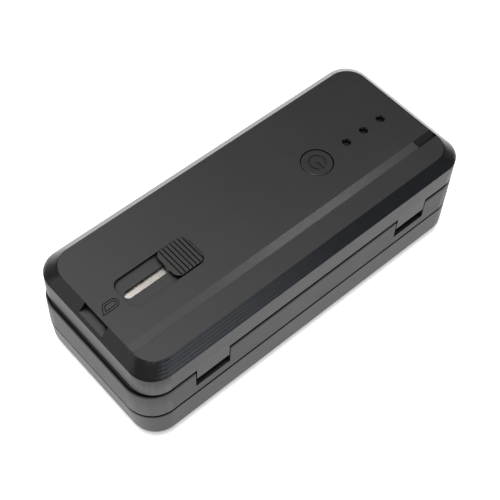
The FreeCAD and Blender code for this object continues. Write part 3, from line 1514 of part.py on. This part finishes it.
def make_power_relay():
    block = part_box(
        "power_relay", "main_left + 14", "0 - 1.5 - relay_width", "main_top", "relay_length",
        "relay_width", "relay_height",
    )
    return named(block, "power_relay")


def make_inductor():
    block = part_box(
        "inductor_block", "main_left + 18", "3", "main_top", "inductor_width", "inductor_width",
        "inductor_height",
    )
    dent = part_rod(
        "inductor_dent", "main_left + 18 + inductor_width / 2", "3 + inductor_width / 2",
        "main_top + inductor_height - 0.5", "inductor_width * 0.3", "1",
    )
    return named(cut("inductor", block, dent), "inductor")


def make_capacitors():
    x = "(main_left + main_board_length - 3.5 - capacitor_radius)"
    members = [
        part_rod(
            f"capacitor_{index}", x, f"0 - 10 + {index} * (2 * capacitor_radius + 1)", "main_top",
            "capacitor_radius", "capacitor_height",
        )
        for index in range(3)
    ]
    return group("capacitors", members)


def make_transistors():
    x = "(main_left + 6)"
    chips = [
        part_box(
            f"transistor_{index}", x, f"(0 - 1.5 + {index}) * transistor_pitch - transistor_width / 2",
            "main_top", "transistor_length", "transistor_width", "transistor_height",
        )
        for index in range(4)
    ]
    group("transistors", chips)
    reach = "(1.5 * transistor_pitch + transistor_width / 2 + spreader_margin)"
    plate = part_box(
        "heat_spreader_plate", f"{x} - spreader_margin * 0.5", f"0 - {reach}",
        "main_top + transistor_height",
        "transistor_length + spreader_margin", f"2 * {reach}", "spreader_thickness",
    )
    named(plate, "heat_spreader")


def make_board_connector():
    block = part_box(
        "board_connector", "main_left + 31", "4", "main_top", "connector_length", "connector_width",
        "control_z - main_top",
    )
    return named(block, "board_connector")


# ---------------------------------------------------------------- battery


def make_battery_cells():
    """Three stacked pouch cells, as wide as the foam pads above and below them."""
    length = "battery_right - battery_left"
    for index, name in enumerate(("lower", "middle", "upper")):
        body = new_body(f"battery_cell_{name}", f"cells_z + {index} * cell_thickness")
        rounded_pad(
            body, "pouch", "0", length, "battery_width", "cell_corner", "cell_thickness",
            x="(battery_left + battery_right) / 2",
        )


def make_battery_foam():
    length = "battery_right - battery_left"
    low = part_box(
        "foam_low", "battery_left", "0 - battery_width / 2", "case_floor", length, "battery_width",
        "foam_thickness"
    )
    high = part_box(
        "foam_high", "battery_left", "0 - battery_width / 2", "frame_z - top_foam_thickness", length,
        "battery_width", "top_foam_thickness",
    )
    return group("battery_foam_pads", [low, high])


def make_cell_tabs():
    """Six tabs out of the cells' right ends, joined in series by two upright links."""
    tabs = {}
    for index in range(3):
        for side, sy in (("rear", 1), ("front", -1)):
            tabs[index, side] = part_box(
                f"tab_{index}_{side}", "battery_right", f"{sy} * tab_offset - tab_width / 2",
                f"cells_z + ({index} + 0.5) * cell_thickness", "tab_length", "tab_width", "tab_thickness",
            )
    links = []
    for name, low, side, sy in (("rear", 0, "rear", 1), ("front", 1, "front", -1)):
        upright = part_box(
            f"link_{name}", "battery_right + tab_length - tab_thickness",
            f"{sy} * tab_offset - tab_width / 2",
            f"cells_z + ({low} + 0.5) * cell_thickness", "tab_thickness", "tab_width",
            "cell_thickness + tab_thickness",
        )
        links.append(fuse(f"series_link_{name}", tabs[low, side], upright, tabs[low + 1, side]))
    return group("cell_tabs", links + [tabs[0, "front"], tabs[2, "rear"]])


def make_busbars():
    """Copper bars from the pack's end tabs over the edge of the main board."""
    x = "(battery_right + tab_length)"
    for name, sy, tab_z in (
        ("negative", -1, "cells_z + 0.5 * cell_thickness"),
        ("positive", 1, "cells_z + 2.5 * cell_thickness"),
    ):
        y = f"{sy} * tab_offset - tab_width / 2"
        low = "main_top" if name == "positive" else f"({tab_z})"
        high = f"({tab_z} + tab_thickness)" if name == "positive" else "(main_top + busbar_thickness)"
        upright = part_box(f"{name}_upright", x, y, low, "busbar_thickness", "tab_width", f"{high} - {low}")
        bar = part_box(
            f"{name}_bar", x, y, "main_top", f"main_left + 4.5 - {x}", "tab_width",
            "busbar_thickness"
        )
        named(fuse(f"{name}_busbar", upright, bar), f"{name}_busbar")


# ---------------------------------------------------------------- build, check and write

make_bottom_case()
make_case_screws()
make_rubber_feet()
make_middle_frame()
make_frame_magnets()
make_rim_seal()
make_hinge_pins()
make_lid_shell()
make_lid_inner_plate()
make_lid_screws()
make_lid_magnets()
make_light_pipes()
for lug_name, lug_place in LUGS:
    make_hinge_lug(lug_name, lug_place)
make_lug_screws()
make_blade_guide()
make_guide_screws()
make_cutter_blade()
make_blade_carrier()
make_carrier_screw()
make_blade_slider()
make_power_button()
make_button_spring()
make_port_cover()
make_port_cover_pin()
make_output_socket()
make_output_contacts()
make_output_straps()
make_usb_port()
make_charging_jack()
make_control_board()
make_control_board_screws()
make_tact_switch()
make_status_leds()
make_main_board()
make_main_board_screws()
make_power_relay()
make_inductor()
make_capacitors()
make_transistors()
make_board_connector()
make_battery_cells()
make_battery_foam()
make_cell_tabs()
make_busbars()
doc.recompute()

for item in doc.Objects:
    if "Invalid" in item.State or "Error" in item.State:
        raise RuntimeError(f"{item.Label} ({item.TypeId}) failed: {item.State}")
for item in sub_parts:
    if item.Shape.isNull() or not item.Shape.isValid() or not item.Shape.Solids:
        raise RuntimeError(f"{item.Label} has no valid solid")

os.makedirs("parts", exist_ok=True)
for item in sub_parts:
    item.Shape.exportStep(f"parts/{item.Label}.step")
    solids = item.Shape.Solids
    print(f"{item.Label}: {len(solids)} solid(s), {sum(solid.Volume for solid in solids):.1f} mm3")
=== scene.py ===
"""Looks of the jump starter pack: procedural materials, softened edges, floor, lights and camera."""
import math

import bmesh
import bpy
from mathutils import Matrix, Vector


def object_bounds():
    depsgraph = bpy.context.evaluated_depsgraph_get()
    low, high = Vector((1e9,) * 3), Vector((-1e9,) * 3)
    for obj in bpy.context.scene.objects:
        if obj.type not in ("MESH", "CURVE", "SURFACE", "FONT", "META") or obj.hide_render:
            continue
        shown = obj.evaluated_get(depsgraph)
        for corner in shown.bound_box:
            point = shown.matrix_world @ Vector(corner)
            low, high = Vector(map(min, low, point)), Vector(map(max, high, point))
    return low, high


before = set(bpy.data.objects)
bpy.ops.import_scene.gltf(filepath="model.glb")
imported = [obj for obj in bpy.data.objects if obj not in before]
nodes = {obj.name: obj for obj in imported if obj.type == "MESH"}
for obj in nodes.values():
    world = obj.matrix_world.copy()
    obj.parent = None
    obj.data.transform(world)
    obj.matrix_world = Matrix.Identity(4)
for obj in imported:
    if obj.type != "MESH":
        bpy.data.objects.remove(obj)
cad_box = [list(corner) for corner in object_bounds()]
scene = bpy.context.scene
MM = 0.001

# Heights and spacings on the object, in millimetres
# Heights above which painted seam shade starts on the case and on the frame's shoulder
CASE_SEAM_SHADE_HEIGHT = 16.9
SHOULDER_SEAM_SHADE_HEIGHT = 31.9
BEVEL_FOOT_HEIGHT = 43.0
TOOL_LINE_PITCH = 0.85
TOOL_LINES_START_X = -66.0
TOOL_LINES_END_X = 12.0
GROOVE_FRONT_Y = -21.0

# ---------------------------------------------------------------- material tools


class Graph:
    """A material's node tree, with short calls for the nodes used here."""

    def __init__(self, name):
        self.material = bpy.data.materials.new(name)
        self.material.use_nodes = True
        self.tree = self.material.node_tree
        self.tree.nodes.clear()
        self.out = self.add("ShaderNodeOutputMaterial")
        self.shader = self.add("ShaderNodeBsdfPrincipled")
        self.join(self.shader.outputs[0], self.out.inputs["Surface"])
        self.place = self.add("ShaderNodeTexCoord").outputs["Object"]

    def add(self, kind, **settings):
        node = self.tree.nodes.new(kind)
        for name, setting in settings.items():
            setattr(node, name, setting)
        return node

    def join(self, source, target):
        self.tree.links.new(source, target)

    def feed(self, target, source):
        """Link an output, or set a plain value."""
        if isinstance(source, bpy.types.NodeSocket):
            self.join(source, target)
        else:
            target.default_value = source

    def math(self, operation, first, second=0.0, clamp=False):
        node = self.add("ShaderNodeMath", operation=operation, use_clamp=clamp)
        self.feed(node.inputs[0], first)
        self.feed(node.inputs[1], second)
        return node.outputs[0]

    def spread(self, source, low, high, to_low=0.0, to_high=1.0):
        node = self.add("ShaderNodeMapRange", clamp=True)
        values = (source, low, high, to_low, to_high)
        for socket, setting in zip(node.inputs, values):
            self.feed(socket, setting)
        return node.outputs["Result"]

    def stretch(self, factors, turn=(0.0, 0.0, 0.0)):
        node = self.add("ShaderNodeMapping")
        self.join(self.place, node.inputs["Vector"])
        node.inputs["Rotation"].default_value = turn
        node.inputs["Scale"].default_value = factors
        return node.outputs["Vector"]

    def noise(self, size_mm, detail=3.0, roughness=0.5, vector=None, distortion=0.0):
        """Noise from 0 to 1 whose features are about size_mm across."""
        node = self.add("ShaderNodeTexNoise")
        self.join(vector or self.place, node.inputs["Vector"])
        node.inputs["Scale"].default_value = 1.0 / (size_mm * MM)
        node.inputs["Detail"].default_value = detail
        node.inputs["Roughness"].default_value = roughness
        node.inputs["Distortion"].default_value = distortion
        return node.outputs["Fac"]

    def cells(self, size_mm, randomness=1.0, feature="F1"):
        node = self.add("ShaderNodeTexVoronoi", feature=feature)
        self.join(self.place, node.inputs["Vector"])
        node.inputs["Scale"].default_value = 1.0 / (size_mm * MM)
        node.inputs["Randomness"].default_value = randomness
        return node.outputs["Distance"]

    def blend(self, factor, first, second):
        node = self.add("ShaderNodeMix", data_type="RGBA")
        self.feed(node.inputs["Factor"], factor)
        for socket, colour in ((node.inputs["A"], first), (node.inputs["B"], second)):
            if isinstance(colour, tuple):
                colour = (*colour, 1.0)
            self.feed(socket, colour)
        return node.outputs["Result"]

    def axis(self, letter):
        node = self.add("ShaderNodeSeparateXYZ")
        self.join(self.place, node.inputs[0])
        return node.outputs[letter]

    def facing(self, letter):
        """The surface normal's component along one of the piece's own axes."""
        node = self.add("ShaderNodeSeparateXYZ")
        self.join(self.add("ShaderNodeTexCoord").outputs["Normal"], node.inputs[0])
        return node.outputs[letter]

    def crevice(self, reach_mm):
        """1 deep in gaps and grooves, 0 on open faces: the mask for painted shade there."""
        node = self.add("ShaderNodeAmbientOcclusion", samples=6)
        node.inputs["Distance"].default_value = reach_mm * MM
        return self.spread(node.outputs["AO"], 0.80, 0.48)

    def edges(self, radius_mm):
        """1 near convex and concave edges, 0 on flats."""
        rounded = self.add("ShaderNodeBevel", samples=4)
        rounded.inputs["Radius"].default_value = radius_mm * MM
        geometry = self.add("ShaderNodeNewGeometry")
        dot = self.add("ShaderNodeVectorMath", operation="DOT_PRODUCT")
        self.join(rounded.outputs[0], dot.inputs[0])
        self.join(geometry.outputs["True Normal"], dot.inputs[1])
        return self.spread(dot.outputs["Value"], 0.995, 0.85)

    def bump(self, *layers):
        """Stack (height, depth in mm) layers into the shader's normal."""
        normal = None
        for height, depth_mm in layers:
            node = self.add("ShaderNodeBump")
            node.inputs["Strength"].default_value = 1.0
            node.inputs["Distance"].default_value = depth_mm * MM
            self.join(height, node.inputs["Height"])
            if normal is not None:
                self.join(normal, node.inputs["Normal"])
            normal = node.outputs[0]
        self.join(normal, self.shader.inputs["Normal"])

    def finish(self, colour, roughness, **fixed):
        self.feed(self.shader.inputs["Base Color"], colour)
        self.feed(self.shader.inputs["Roughness"], roughness)
        for name, setting in fixed.items():
            self.shader.inputs[name.replace("_", " ")].default_value = setting
        return self.material


def tint(colour, factor):
    return tuple(min(1.0, part * factor) for part in colour)


def moulded(name, colour, roughness=0.5, grain_mm=0.22, grain_depth=0.012, wear=0.5, edge_mm=0.35,
            reach_mm=3.0, seam_shade_from_mm=None):
    """Injection-moulded plastic: spark-eroded grain, faint flow mottling, dust and rubbed edges.

    seam_shade_from_mm is the height above which the rounded upper edge gets painted shade, dark and
    dull, standing in for the shadow in the seam or gap above it.
    """
    g = Graph(name)
    grain = g.noise(grain_mm, 2.0, 0.55)
    mottle = g.noise(28.0, 4.0, 0.6)
    cloud = g.noise(6.0, 3.0, 0.5)
    dust = g.spread(g.cells(1.9), 0.10, 0.03)
    rubbed = g.math("MULTIPLY", g.edges(edge_mm), g.spread(g.noise(3.0, 3.0, 0.6), 0.42, 0.62))
    shade = g.blend(g.spread(mottle, 0.3, 0.7), tint(colour, 0.86), tint(colour, 1.14))
    shade = g.blend(g.spread(cloud, 0.35, 0.75, 0.0, 0.25), shade, tint(colour, 1.35))
    shade = g.blend(g.math("MULTIPLY", dust, 0.10), shade, (0.32, 0.31, 0.30))
    shade = g.blend(g.math("MULTIPLY", rubbed, wear), shade, tint(colour, 3.2))
    scratches = g.noise(0.5, 1.0, 0.4, g.stretch((0.03, 1.0, 1.0), (0.0, 0.0, 0.5)))
    marks = g.spread(scratches, 0.60, 0.72)
    gloss = g.math("ADD", roughness - 0.04, g.math("MULTIPLY", mottle, 0.10))
    gloss = g.math("SUBTRACT", gloss, g.math("MULTIPLY", rubbed, 0.10))
    gloss = g.math("ADD", gloss, g.math("MULTIPLY", marks, 0.05), clamp=True)
    # Painted shade: gaps and grooves are darkened and dulled, standing in for the shadow that falls in
    # them
    crevice_shade = g.crevice(reach_mm)
    if seam_shade_from_mm is not None:
        # Painted shade on the rounded upper edge, for the shadow in the seam or gap above it, weaker
        # on the left-facing end
        seam_shade = g.spread(g.axis("Z"), (seam_shade_from_mm - 0.2) * MM, (seam_shade_from_mm + 0.3) * MM)
        seam_shade = g.math("MULTIPLY", seam_shade, g.spread(g.facing("Z"), 0.97, 0.85))
        seam_shade = g.math("MULTIPLY", seam_shade, g.spread(g.facing("X"), -0.97, -0.6, 0.6, 1.0))
        crevice_shade = g.math("MAXIMUM", crevice_shade, g.math("MULTIPLY", seam_shade, 0.95))
    shade = g.blend(g.math("MULTIPLY", crevice_shade, 0.95), shade, tint(colour, 0.15))
    g.feed(g.shader.inputs["Specular IOR Level"], g.spread(crevice_shade, 0.0, 1.0, 0.5, 0.02))
    g.bump((g.noise(2.4, 2.0, 0.5), 0.010), (grain, grain_depth))
    return g.finish(shade, gloss, IOR=1.49)


def lid_plastic(name, colour):
    """The lid's shell: satin top, glossier bevel with fine tool lines along its front."""
    g = Graph(name)
    height = g.axis("Z")
    upward = g.facing("Z")
    slope = g.math("MULTIPLY", g.spread(upward, 0.98, 0.93), g.spread(upward, 0.3, 0.5))
    slope = g.math("MULTIPLY", slope, g.math("GREATER_THAN", height, BEVEL_FOOT_HEIGHT * MM))
    front = g.math("MULTIPLY", slope, g.spread(g.facing("Y"), -0.5, -0.65))
    grain = g.noise(0.2, 2.0, 0.55)
    mottle = g.noise(30.0, 4.0, 0.6)
    cloud = g.noise(5.0, 3.0, 0.5)
    dust = g.spread(g.cells(2.3), 0.09, 0.02)
    rubbed = g.math("MULTIPLY", g.edges(0.4), g.spread(g.noise(3.0, 3.0, 0.6), 0.40, 0.62))
    shade = g.blend(g.spread(mottle, 0.3, 0.7), tint(colour, 0.88), tint(colour, 1.12))
    shade = g.blend(g.spread(cloud, 0.35, 0.75, 0.0, 0.2), shade, tint(colour, 1.3))
    # Painted reflection: the front-facing bevel alone gets a dark bluish tint
    shade = g.blend(front, shade, tint((0.85, 0.95, 1.2), colour[2] * 0.9))
    groove = g.math("MULTIPLY", g.spread(g.facing("Y"), -0.05, -0.09), g.math("SUBTRACT", 1.0, slope))
    inside = g.spread(g.axis("Y"), (GROOVE_FRONT_Y - 1.0) * MM, GROOVE_FRONT_Y * MM)
    groove = g.math("MULTIPLY", groove, inside)
    # Painted sheen: the groove's tilted ramp is tinted lighter and warmer, standing in for the light
    # it catches
    ramp_sheen = g.math("MULTIPLY", groove, g.spread(g.facing("Y"), -0.25, -0.18))
    shade = g.blend(ramp_sheen, shade, tint((1.12, 1.02, 1.0), colour[2] * 1.9))
    shade = g.blend(g.math("MULTIPLY", dust, 0.10), shade, (0.32, 0.31, 0.30))
    shade = g.blend(g.math("MULTIPLY", rubbed, 0.45), shade, tint(colour, 3.0))
    wave = g.math("SINE", g.math("MULTIPLY", height, 2.0 * math.pi / (TOOL_LINE_PITCH * MM)))
    fade = g.spread(g.axis("X"), TOOL_LINES_START_X * MM, TOOL_LINES_END_X * MM, 1.0, 0.0)
    fade = g.math("MULTIPLY", fade, g.spread(g.noise(9.0, 3.0, 0.6, g.stretch((0.2, 1, 1))), 0.3, 0.6))
    lines = g.math("MULTIPLY", g.math("MULTIPLY", g.spread(wave, 0.55, 0.98), front), fade)
    shade = g.blend(g.math("MULTIPLY", lines, 0.8), shade, tint((0.9, 0.97, 1.1), colour[2] * 9.0))
    # Painted shade: gaps and grooves are darkened and dulled, standing in for the shadow that falls in
    # them
    crevice_shade = g.crevice(3.0)
    shade = g.blend(g.math("MULTIPLY", crevice_shade, 0.95), shade, tint(colour, 0.15))
    g.feed(g.shader.inputs["Specular IOR Level"], g.spread(crevice_shade, 0.0, 1.0, 0.5, 0.02))
    scratches = g.noise(0.6, 1.0, 0.4, g.stretch((0.03, 1.0, 1.0), (0.0, 0.0, 0.35)))
    marks = g.spread(scratches, 0.61, 0.74)
    gloss = g.math("ADD", 0.43, g.math("MULTIPLY", mottle, 0.08))
    gloss = g.math("SUBTRACT", gloss, g.math("MULTIPLY", slope, 0.20))
    gloss = g.math("SUBTRACT", gloss, g.math("MULTIPLY", groove, 0.17))
    gloss = g.math("ADD", gloss, g.math("MULTIPLY", marks, 0.05), clamp=True)
    depth = g.math("MULTIPLY", grain, g.spread(slope, 0.0, 1.0, 1.0, 0.08))
    g.bump((g.noise(3.0, 2.0, 0.5), 0.008), (lines, 0.03), (depth, 0.010))
    return g.finish(shade, gloss, IOR=1.5)


def metal(name, colour, roughness=0.3, brushed=(1.0, 0.02, 1.0), wear=0.25, depth_mm=0.006):
    """Steel or plated metal with a brushed grain, small scratches and light staining."""
    g = Graph(name)
    brush = g.noise(0.35, 3.0, 0.6, g.stretch(brushed))
    stain = g.noise(7.0, 4.0, 0.6)
    edge = g.edges(0.15)
    shade = g.blend(g.spread(brush, 0.3, 0.7), tint(colour, 0.85), tint(colour, 1.1))
    shade = g.blend(g.spread(stain, 0.5, 0.75, 0.0, wear), shade, tint(colour, 0.6))
    shade = g.blend(g.math("MULTIPLY", edge, 0.35), shade, tint(colour, 1.25))
    gloss = g.math("ADD", roughness - 0.06, g.math("MULTIPLY", brush, 0.12))
    gloss = g.math("ADD", gloss, g.spread(stain, 0.5, 0.75, 0.0, 0.12), clamp=True)
    g.bump((brush, depth_mm), (g.noise(0.12, 1.0, 0.5), depth_mm / 3))
    return g.finish(shade, gloss, Metallic=1.0)


def rubber(name, colour):
    """Matte rubber with a fine pebble, chalky bloom and dust in its pores."""
    g = Graph(name)
    pebble = g.cells(0.35, feature="SMOOTH_F1")
    bloom = g.noise(9.0, 5.0, 0.65)
    shade = g.blend(g.spread(bloom, 0.35, 0.75), tint(colour, 0.85), tint(colour, 1.7))
    shade = g.blend(g.math("MULTIPLY", g.edges(0.3), 0.4), shade, tint(colour, 2.4))
    gloss = g.math("ADD", 0.68, g.math("MULTIPLY", bloom, 0.2), clamp=True)
    g.bump((g.noise(1.6, 2.0, 0.5), 0.015), (pebble, 0.014))
    return g.finish(shade, gloss, IOR=1.45)


def board(name, colour):
    """Solder-masked circuit board with hidden copper runs and small pads."""
    g = Graph(name)
    bricks = g.add("ShaderNodeTexBrick", offset=0.37, squash=1.4)
    g.join(g.place, bricks.inputs["Vector"])
    bricks.inputs["Scale"].default_value = 420.0
    bricks.inputs["Mortar Size"].default_value = 0.035
    runs = bricks.outputs["Fac"]
    pads = g.spread(g.cells(2.6, 0.6), 0.16, 0.13)
    shade = g.blend(g.spread(g.noise(5.0), 0.3, 0.7), tint(colour, 0.8), tint(colour, 1.15))
    shade = g.blend(g.math("MULTIPLY", runs, 0.6), shade, tint(colour, 1.9))
    shade = g.blend(pads, shade, (0.62, 0.60, 0.56))
    g.feed(g.shader.inputs["Metallic"], g.math("MULTIPLY", pads, 0.9))
    g.bump((runs, 0.02), (pads, 0.03), (g.noise(0.3), 0.004))
    return g.finish(shade, g.spread(g.noise(1.5), 0.3, 0.7, 0.25, 0.42), IOR=1.5)


def pouch(name, colour):
    """Laminated foil of a cell: crinkled, satin, with a slightly warmer mottling."""
    g = Graph(name)
    crinkle = g.noise(3.5, 5.0, 0.6, distortion=0.6)
    shade = g.blend(g.spread(crinkle, 0.3, 0.7), tint(colour, 0.8), tint(colour, 1.1))
    g.feed(g.shader.inputs["Metallic"], g.spread(crinkle, 0.3, 0.7, 0.7, 0.9))
    g.bump((crinkle, 0.15), (g.noise(0.4), 0.01))
    return g.finish(shade, g.spread(crinkle, 0.3, 0.7, 0.28, 0.45))


def clear_plastic(name, colour):
    """Milky light-guide plastic with faint moulding swirls."""
    g = Graph(name)
    swirl = g.noise(1.2, 3.0, 0.6, distortion=0.8)
    shade = g.blend(g.spread(swirl, 0.3, 0.7), tint(colour, 0.8), colour)
    g.bump((swirl, 0.01), (g.noise(0.15), 0.002))
    return g.finish(shade, g.spread(swirl, 0.3, 0.7, 0.16, 0.3), IOR=1.49)


def floor_paint(name, colour):
    """Plain pale studio floor with a trace of unevenness."""
    g = Graph(name)
    cloud = g.noise(240.0, 3.0, 0.5)
    shade = g.blend(g.spread(cloud, 0.3, 0.7), tint(colour, 0.992), colour)
    g.bump((g.noise(1.5, 2.0, 0.5), 0.01), (cloud, 0.05))
    g.shader.inputs["Emission Color"].default_value = (1.0, 1.0, 1.0, 1.0)
    return g.finish(shade, g.spread(cloud, 0.3, 0.7, 0.75, 0.82), IOR=1.3, Emission_Strength=0.48)


BLACK = (0.0075, 0.0073, 0.0076)
STEEL = (0.50, 0.465, 0.43)

looks = {
    "lid": lid_plastic("lid_satin_plastic", BLACK),
    "case": moulded("case_plastic", BLACK, 0.44, seam_shade_from_mm=CASE_SEAM_SHADE_HEIGHT),
    "band": moulded(
        "band_plastic", BLACK, 0.50, grain_depth=0.014, reach_mm=4.5,
        seam_shade_from_mm=SHOULDER_SEAM_SHADE_HEIGHT,
    ),
    "lug": moulded("lug_plastic", BLACK, 0.43),
    "slider": moulded("slider_plastic", tint(BLACK, 1.1), 0.42, grain_mm=0.16, edge_mm=0.2),
    "button": moulded("button_plastic", tint(BLACK, 1.05), 0.42, grain_mm=0.16, edge_mm=0.15),
    "inner": moulded("inner_plastic", tint(BLACK, 1.5), 0.55, grain_mm=0.4, grain_depth=0.02),
    "moulding": moulded("component_moulding", tint(BLACK, 0.9), 0.5, grain_mm=0.12, edge_mm=0.15),
    "blue": moulded("socket_moulding", (0.02, 0.055, 0.20), 0.45, wear=0.2),
    "rubber": rubber("black_rubber", (0.02, 0.02, 0.021)),
    "steel": metal("blade_steel", STEEL, 0.27, (0.03, 1.0, 1.0), depth_mm=0.0015),
    "spring": metal("spring_steel", (0.60, 0.60, 0.62), 0.3, (1.0, 1.0, 1.0)),
    "screw": metal("plated_screw", (0.30, 0.30, 0.31), 0.32, (1.0, 1.0, 1.0), 0.4),
    "magnet": metal("nickel_plate", (0.72, 0.71, 0.69), 0.18, (1.0, 1.0, 1.0)),
    "gold": metal("gold_plate", (0.83, 0.60, 0.26), 0.25, (0.2, 1.0, 1.0)),
    "copper": metal("bare_copper", (0.76, 0.40, 0.26), 0.33, (0.3, 1.0, 0.3), 0.5),
    "aluminium": metal("plain_aluminium", (0.74, 0.74, 0.75), 0.36, (0.05, 1.0, 1.0)),
    "can": metal("capacitor_sleeve", (0.12, 0.13, 0.16), 0.38, (1.0, 1.0, 0.1)),
    "board": board("circuit_board", (0.015, 0.11, 0.05)),
    "pouch": pouch("cell_pouch", (0.55, 0.56, 0.58)),
    "clear": clear_plastic("clear_plastic", (0.50, 0.52, 0.54)),
    "smoked": clear_plastic("smoked_plastic", (0.006, 0.006, 0.007)),
}

NODE_LOOKS = {
    "lid": ["lid_shell"],
    "case": ["bottom_case"],
    "lug": ["hinge_lug_left", "hinge_lug_right"],
    "band": ["middle_frame"],
    "slider": ["blade_slider"],
    "button": ["power_button"],
    "inner": ["lid_inner_plate", "blade_guide", "blade_carrier"],
    "moulding": [
        "led_spacers", "tact_switch", "tact_shaft", "usb_tongue", "charging_jack", "power_relay",
        "transistors", "inductor", "board_connector",
    ],
    "blue": ["output_socket"],
    "rubber": ["port_cover", "rim_seal", "rubber_feet", "battery_foam_pads"],
    "steel": ["cutter_blade", "usb_shell"],
    "spring": ["button_spring"],
    "screw": [
        "case_screws", "lid_screws", "lug_screws", "guide_screws", "carrier_screw", "hinge_pins",
        "port_cover_pin", "control_board_screws", "main_board_screws",
    ],
    "magnet": ["frame_magnets", "lid_magnets"],
    "gold": ["output_contacts", "usb_contacts", "jack_pin"],
    "copper": ["output_straps", "positive_busbar", "negative_busbar"],
    "aluminium": ["cell_tabs", "heat_spreader"],
    "can": ["capacitors"],
    "board": ["control_board", "main_board"],
    "pouch": ["battery_cell_lower", "battery_cell_middle", "battery_cell_upper"],
    "clear": ["status_leds"],
    "smoked": ["light_pipes"],
}

for look, names in NODE_LOOKS.items():
    for name in names:
        node = nodes[name]
        node.data.materials.clear()
        node.data.materials.append(looks[look])

# ---------------------------------------------------------------- softened edges

SOFT_EDGES = {
    "lid_shell": 0.25, "middle_frame": 0.2, "bottom_case": 0.25, "blade_slider": 0.12,
    "power_button": 0.1, "hinge_lug_left": 0.2, "hinge_lug_right": 0.2, "port_cover": 0.15,
    "lid_inner_plate": 0.15, "blade_guide": 0.15, "output_socket": 0.15, "usb_shell": 0.08,
    "usb_tongue": 0.08, "charging_jack": 0.12, "rubber_feet": 0.2, "rim_seal": 0.2,
    "power_relay": 0.3, "inductor": 0.4, "capacitors": 0.3, "board_connector": 0.2,
    "tact_switch": 0.15, "tact_shaft": 0.12, "case_screws": 0.15, "lid_screws": 0.1,
    "lid_magnets": 0.1, "frame_magnets": 0.1, "light_pipes": 0.08, "heat_spreader": 0.15,
    "battery_cell_lower": 0.8, "battery_cell_middle": 0.8, "battery_cell_upper": 0.8,
}


def soften(node, width_mm):
    """Weld the node's seams and round its sharp edges a little."""
    weld = node.modifiers.new("weld", "WELD")
    weld.merge_threshold = 1e-6
    bevel = node.modifiers.new("soft_edges", "BEVEL")
    bevel.width = width_mm * MM
    bevel.segments = 2
    bevel.limit_method = "ANGLE"
    bevel.angle_limit = math.radians(32)
    bevel.use_clamp_overlap = True
    bevel.harden_normals = True


for name, width in SOFT_EDGES.items():
    soften(nodes[name], width)

# ---------------------------------------------------------------- floor, lights and camera


def make_floor(size=6.0):
    mesh = bpy.data.meshes.new("studio_floor")
    tool = bmesh.new()
    bmesh.ops.create_grid(tool, x_segments=8, y_segments=8, size=size / 2)
    tool.to_mesh(mesh)
    tool.free()
    floor = bpy.data.objects.new("studio_floor", mesh)
    scene.collection.objects.link(floor)
    floor.location.z = cad_box[0][2] - 0.05 * MM
    mesh.materials.append(floor_paint("studio_floor", (0.86, 0.86, 0.86)))


def make_light(name, place, target, size, power, colour=(1.0, 1.0, 1.0)):
    light = bpy.data.lights.new(name, "AREA")
    light.shape = "RECTANGLE"
    light.size, light.size_y = size
    light.energy = power
    light.color = colour
    holder = bpy.data.objects.new(name, light)
    scene.collection.objects.link(holder)
    holder.location = place
    aim = Vector(target) - Vector(place)
    holder.rotation_euler = aim.to_track_quat("-Z", "Y").to_euler()


def make_world(strength=0.09):
    world = bpy.data.worlds.new("studio")
    world.use_nodes = True
    back = world.node_tree.nodes["Background"]
    back.inputs["Color"].default_value = (0.95, 0.97, 1.0, 1.0)
    back.inputs["Strength"].default_value = strength
    scene.world = world


# Azimuth, elevation and roll in degrees, place in metres, focal length in millimetres
CAMERA_ANGLES = (-44.396, 55.282, 3.418)
CAMERA_PLACE = (-0.18116, -0.18176, 0.38689)
CAMERA_LENS = 81.83


def make_camera():
    """Camera above the near left corner, with a slight roll."""
    azimuth, elevation, roll = (math.radians(angle) for angle in CAMERA_ANGLES)
    back = Vector((
        math.sin(azimuth) * math.cos(elevation),
        -math.cos(azimuth) * math.cos(elevation),
        math.sin(elevation),
    ))
    right = Vector((0.0, 0.0, 1.0)).cross(back).normalized()
    up = back.cross(right)
    across = math.cos(roll) * right + math.sin(roll) * up
    upward = math.cos(roll) * up - math.sin(roll) * right
    turn = Matrix((across, upward, back)).transposed().to_4x4()
    lens = bpy.data.cameras.new("camera")
    lens.sensor_width = 36.0
    lens.lens = CAMERA_LENS
    lens.clip_start = 0.01
    camera = bpy.data.objects.new("camera", lens)
    scene.collection.objects.link(camera)
    camera.matrix_world = Matrix.Translation(CAMERA_PLACE) @ turn
    scene.camera = camera


make_floor()
make_world()
make_light("main_softbox", (-0.20, -0.14, 1.1), (0.0, 0.0, 0.0), (0.5, 0.5), 12.5)
make_light("overhead_softbox", (-0.10, 0.47, 0.85), (0.0, 0.0, 0.03), (0.62, 0.7), 4.0)
make_light("groove_strip", (0.40, 0.10, 0.84), (0.02, -0.02, 0.048), (0.12, 0.08), 0.65)
make_light("left_card", (-0.98, 0.49, 0.50), (0.0, 0.0, 0.03), (0.5, 0.5), 0.65)
make_light("front_card", (0.22, -1.0, 0.50), (0.0, 0.0, 0.03), (0.4, 0.4), 0.7, (0.88, 0.94, 1.0))
make_light("corner_strip", (-0.18, -0.84, 0.52), (0.0, 0.0, 0.03), (0.08, 0.5), 0.3, (0.8, 0.9, 1.0))
make_camera()
scene.view_settings.view_transform = "Standard"
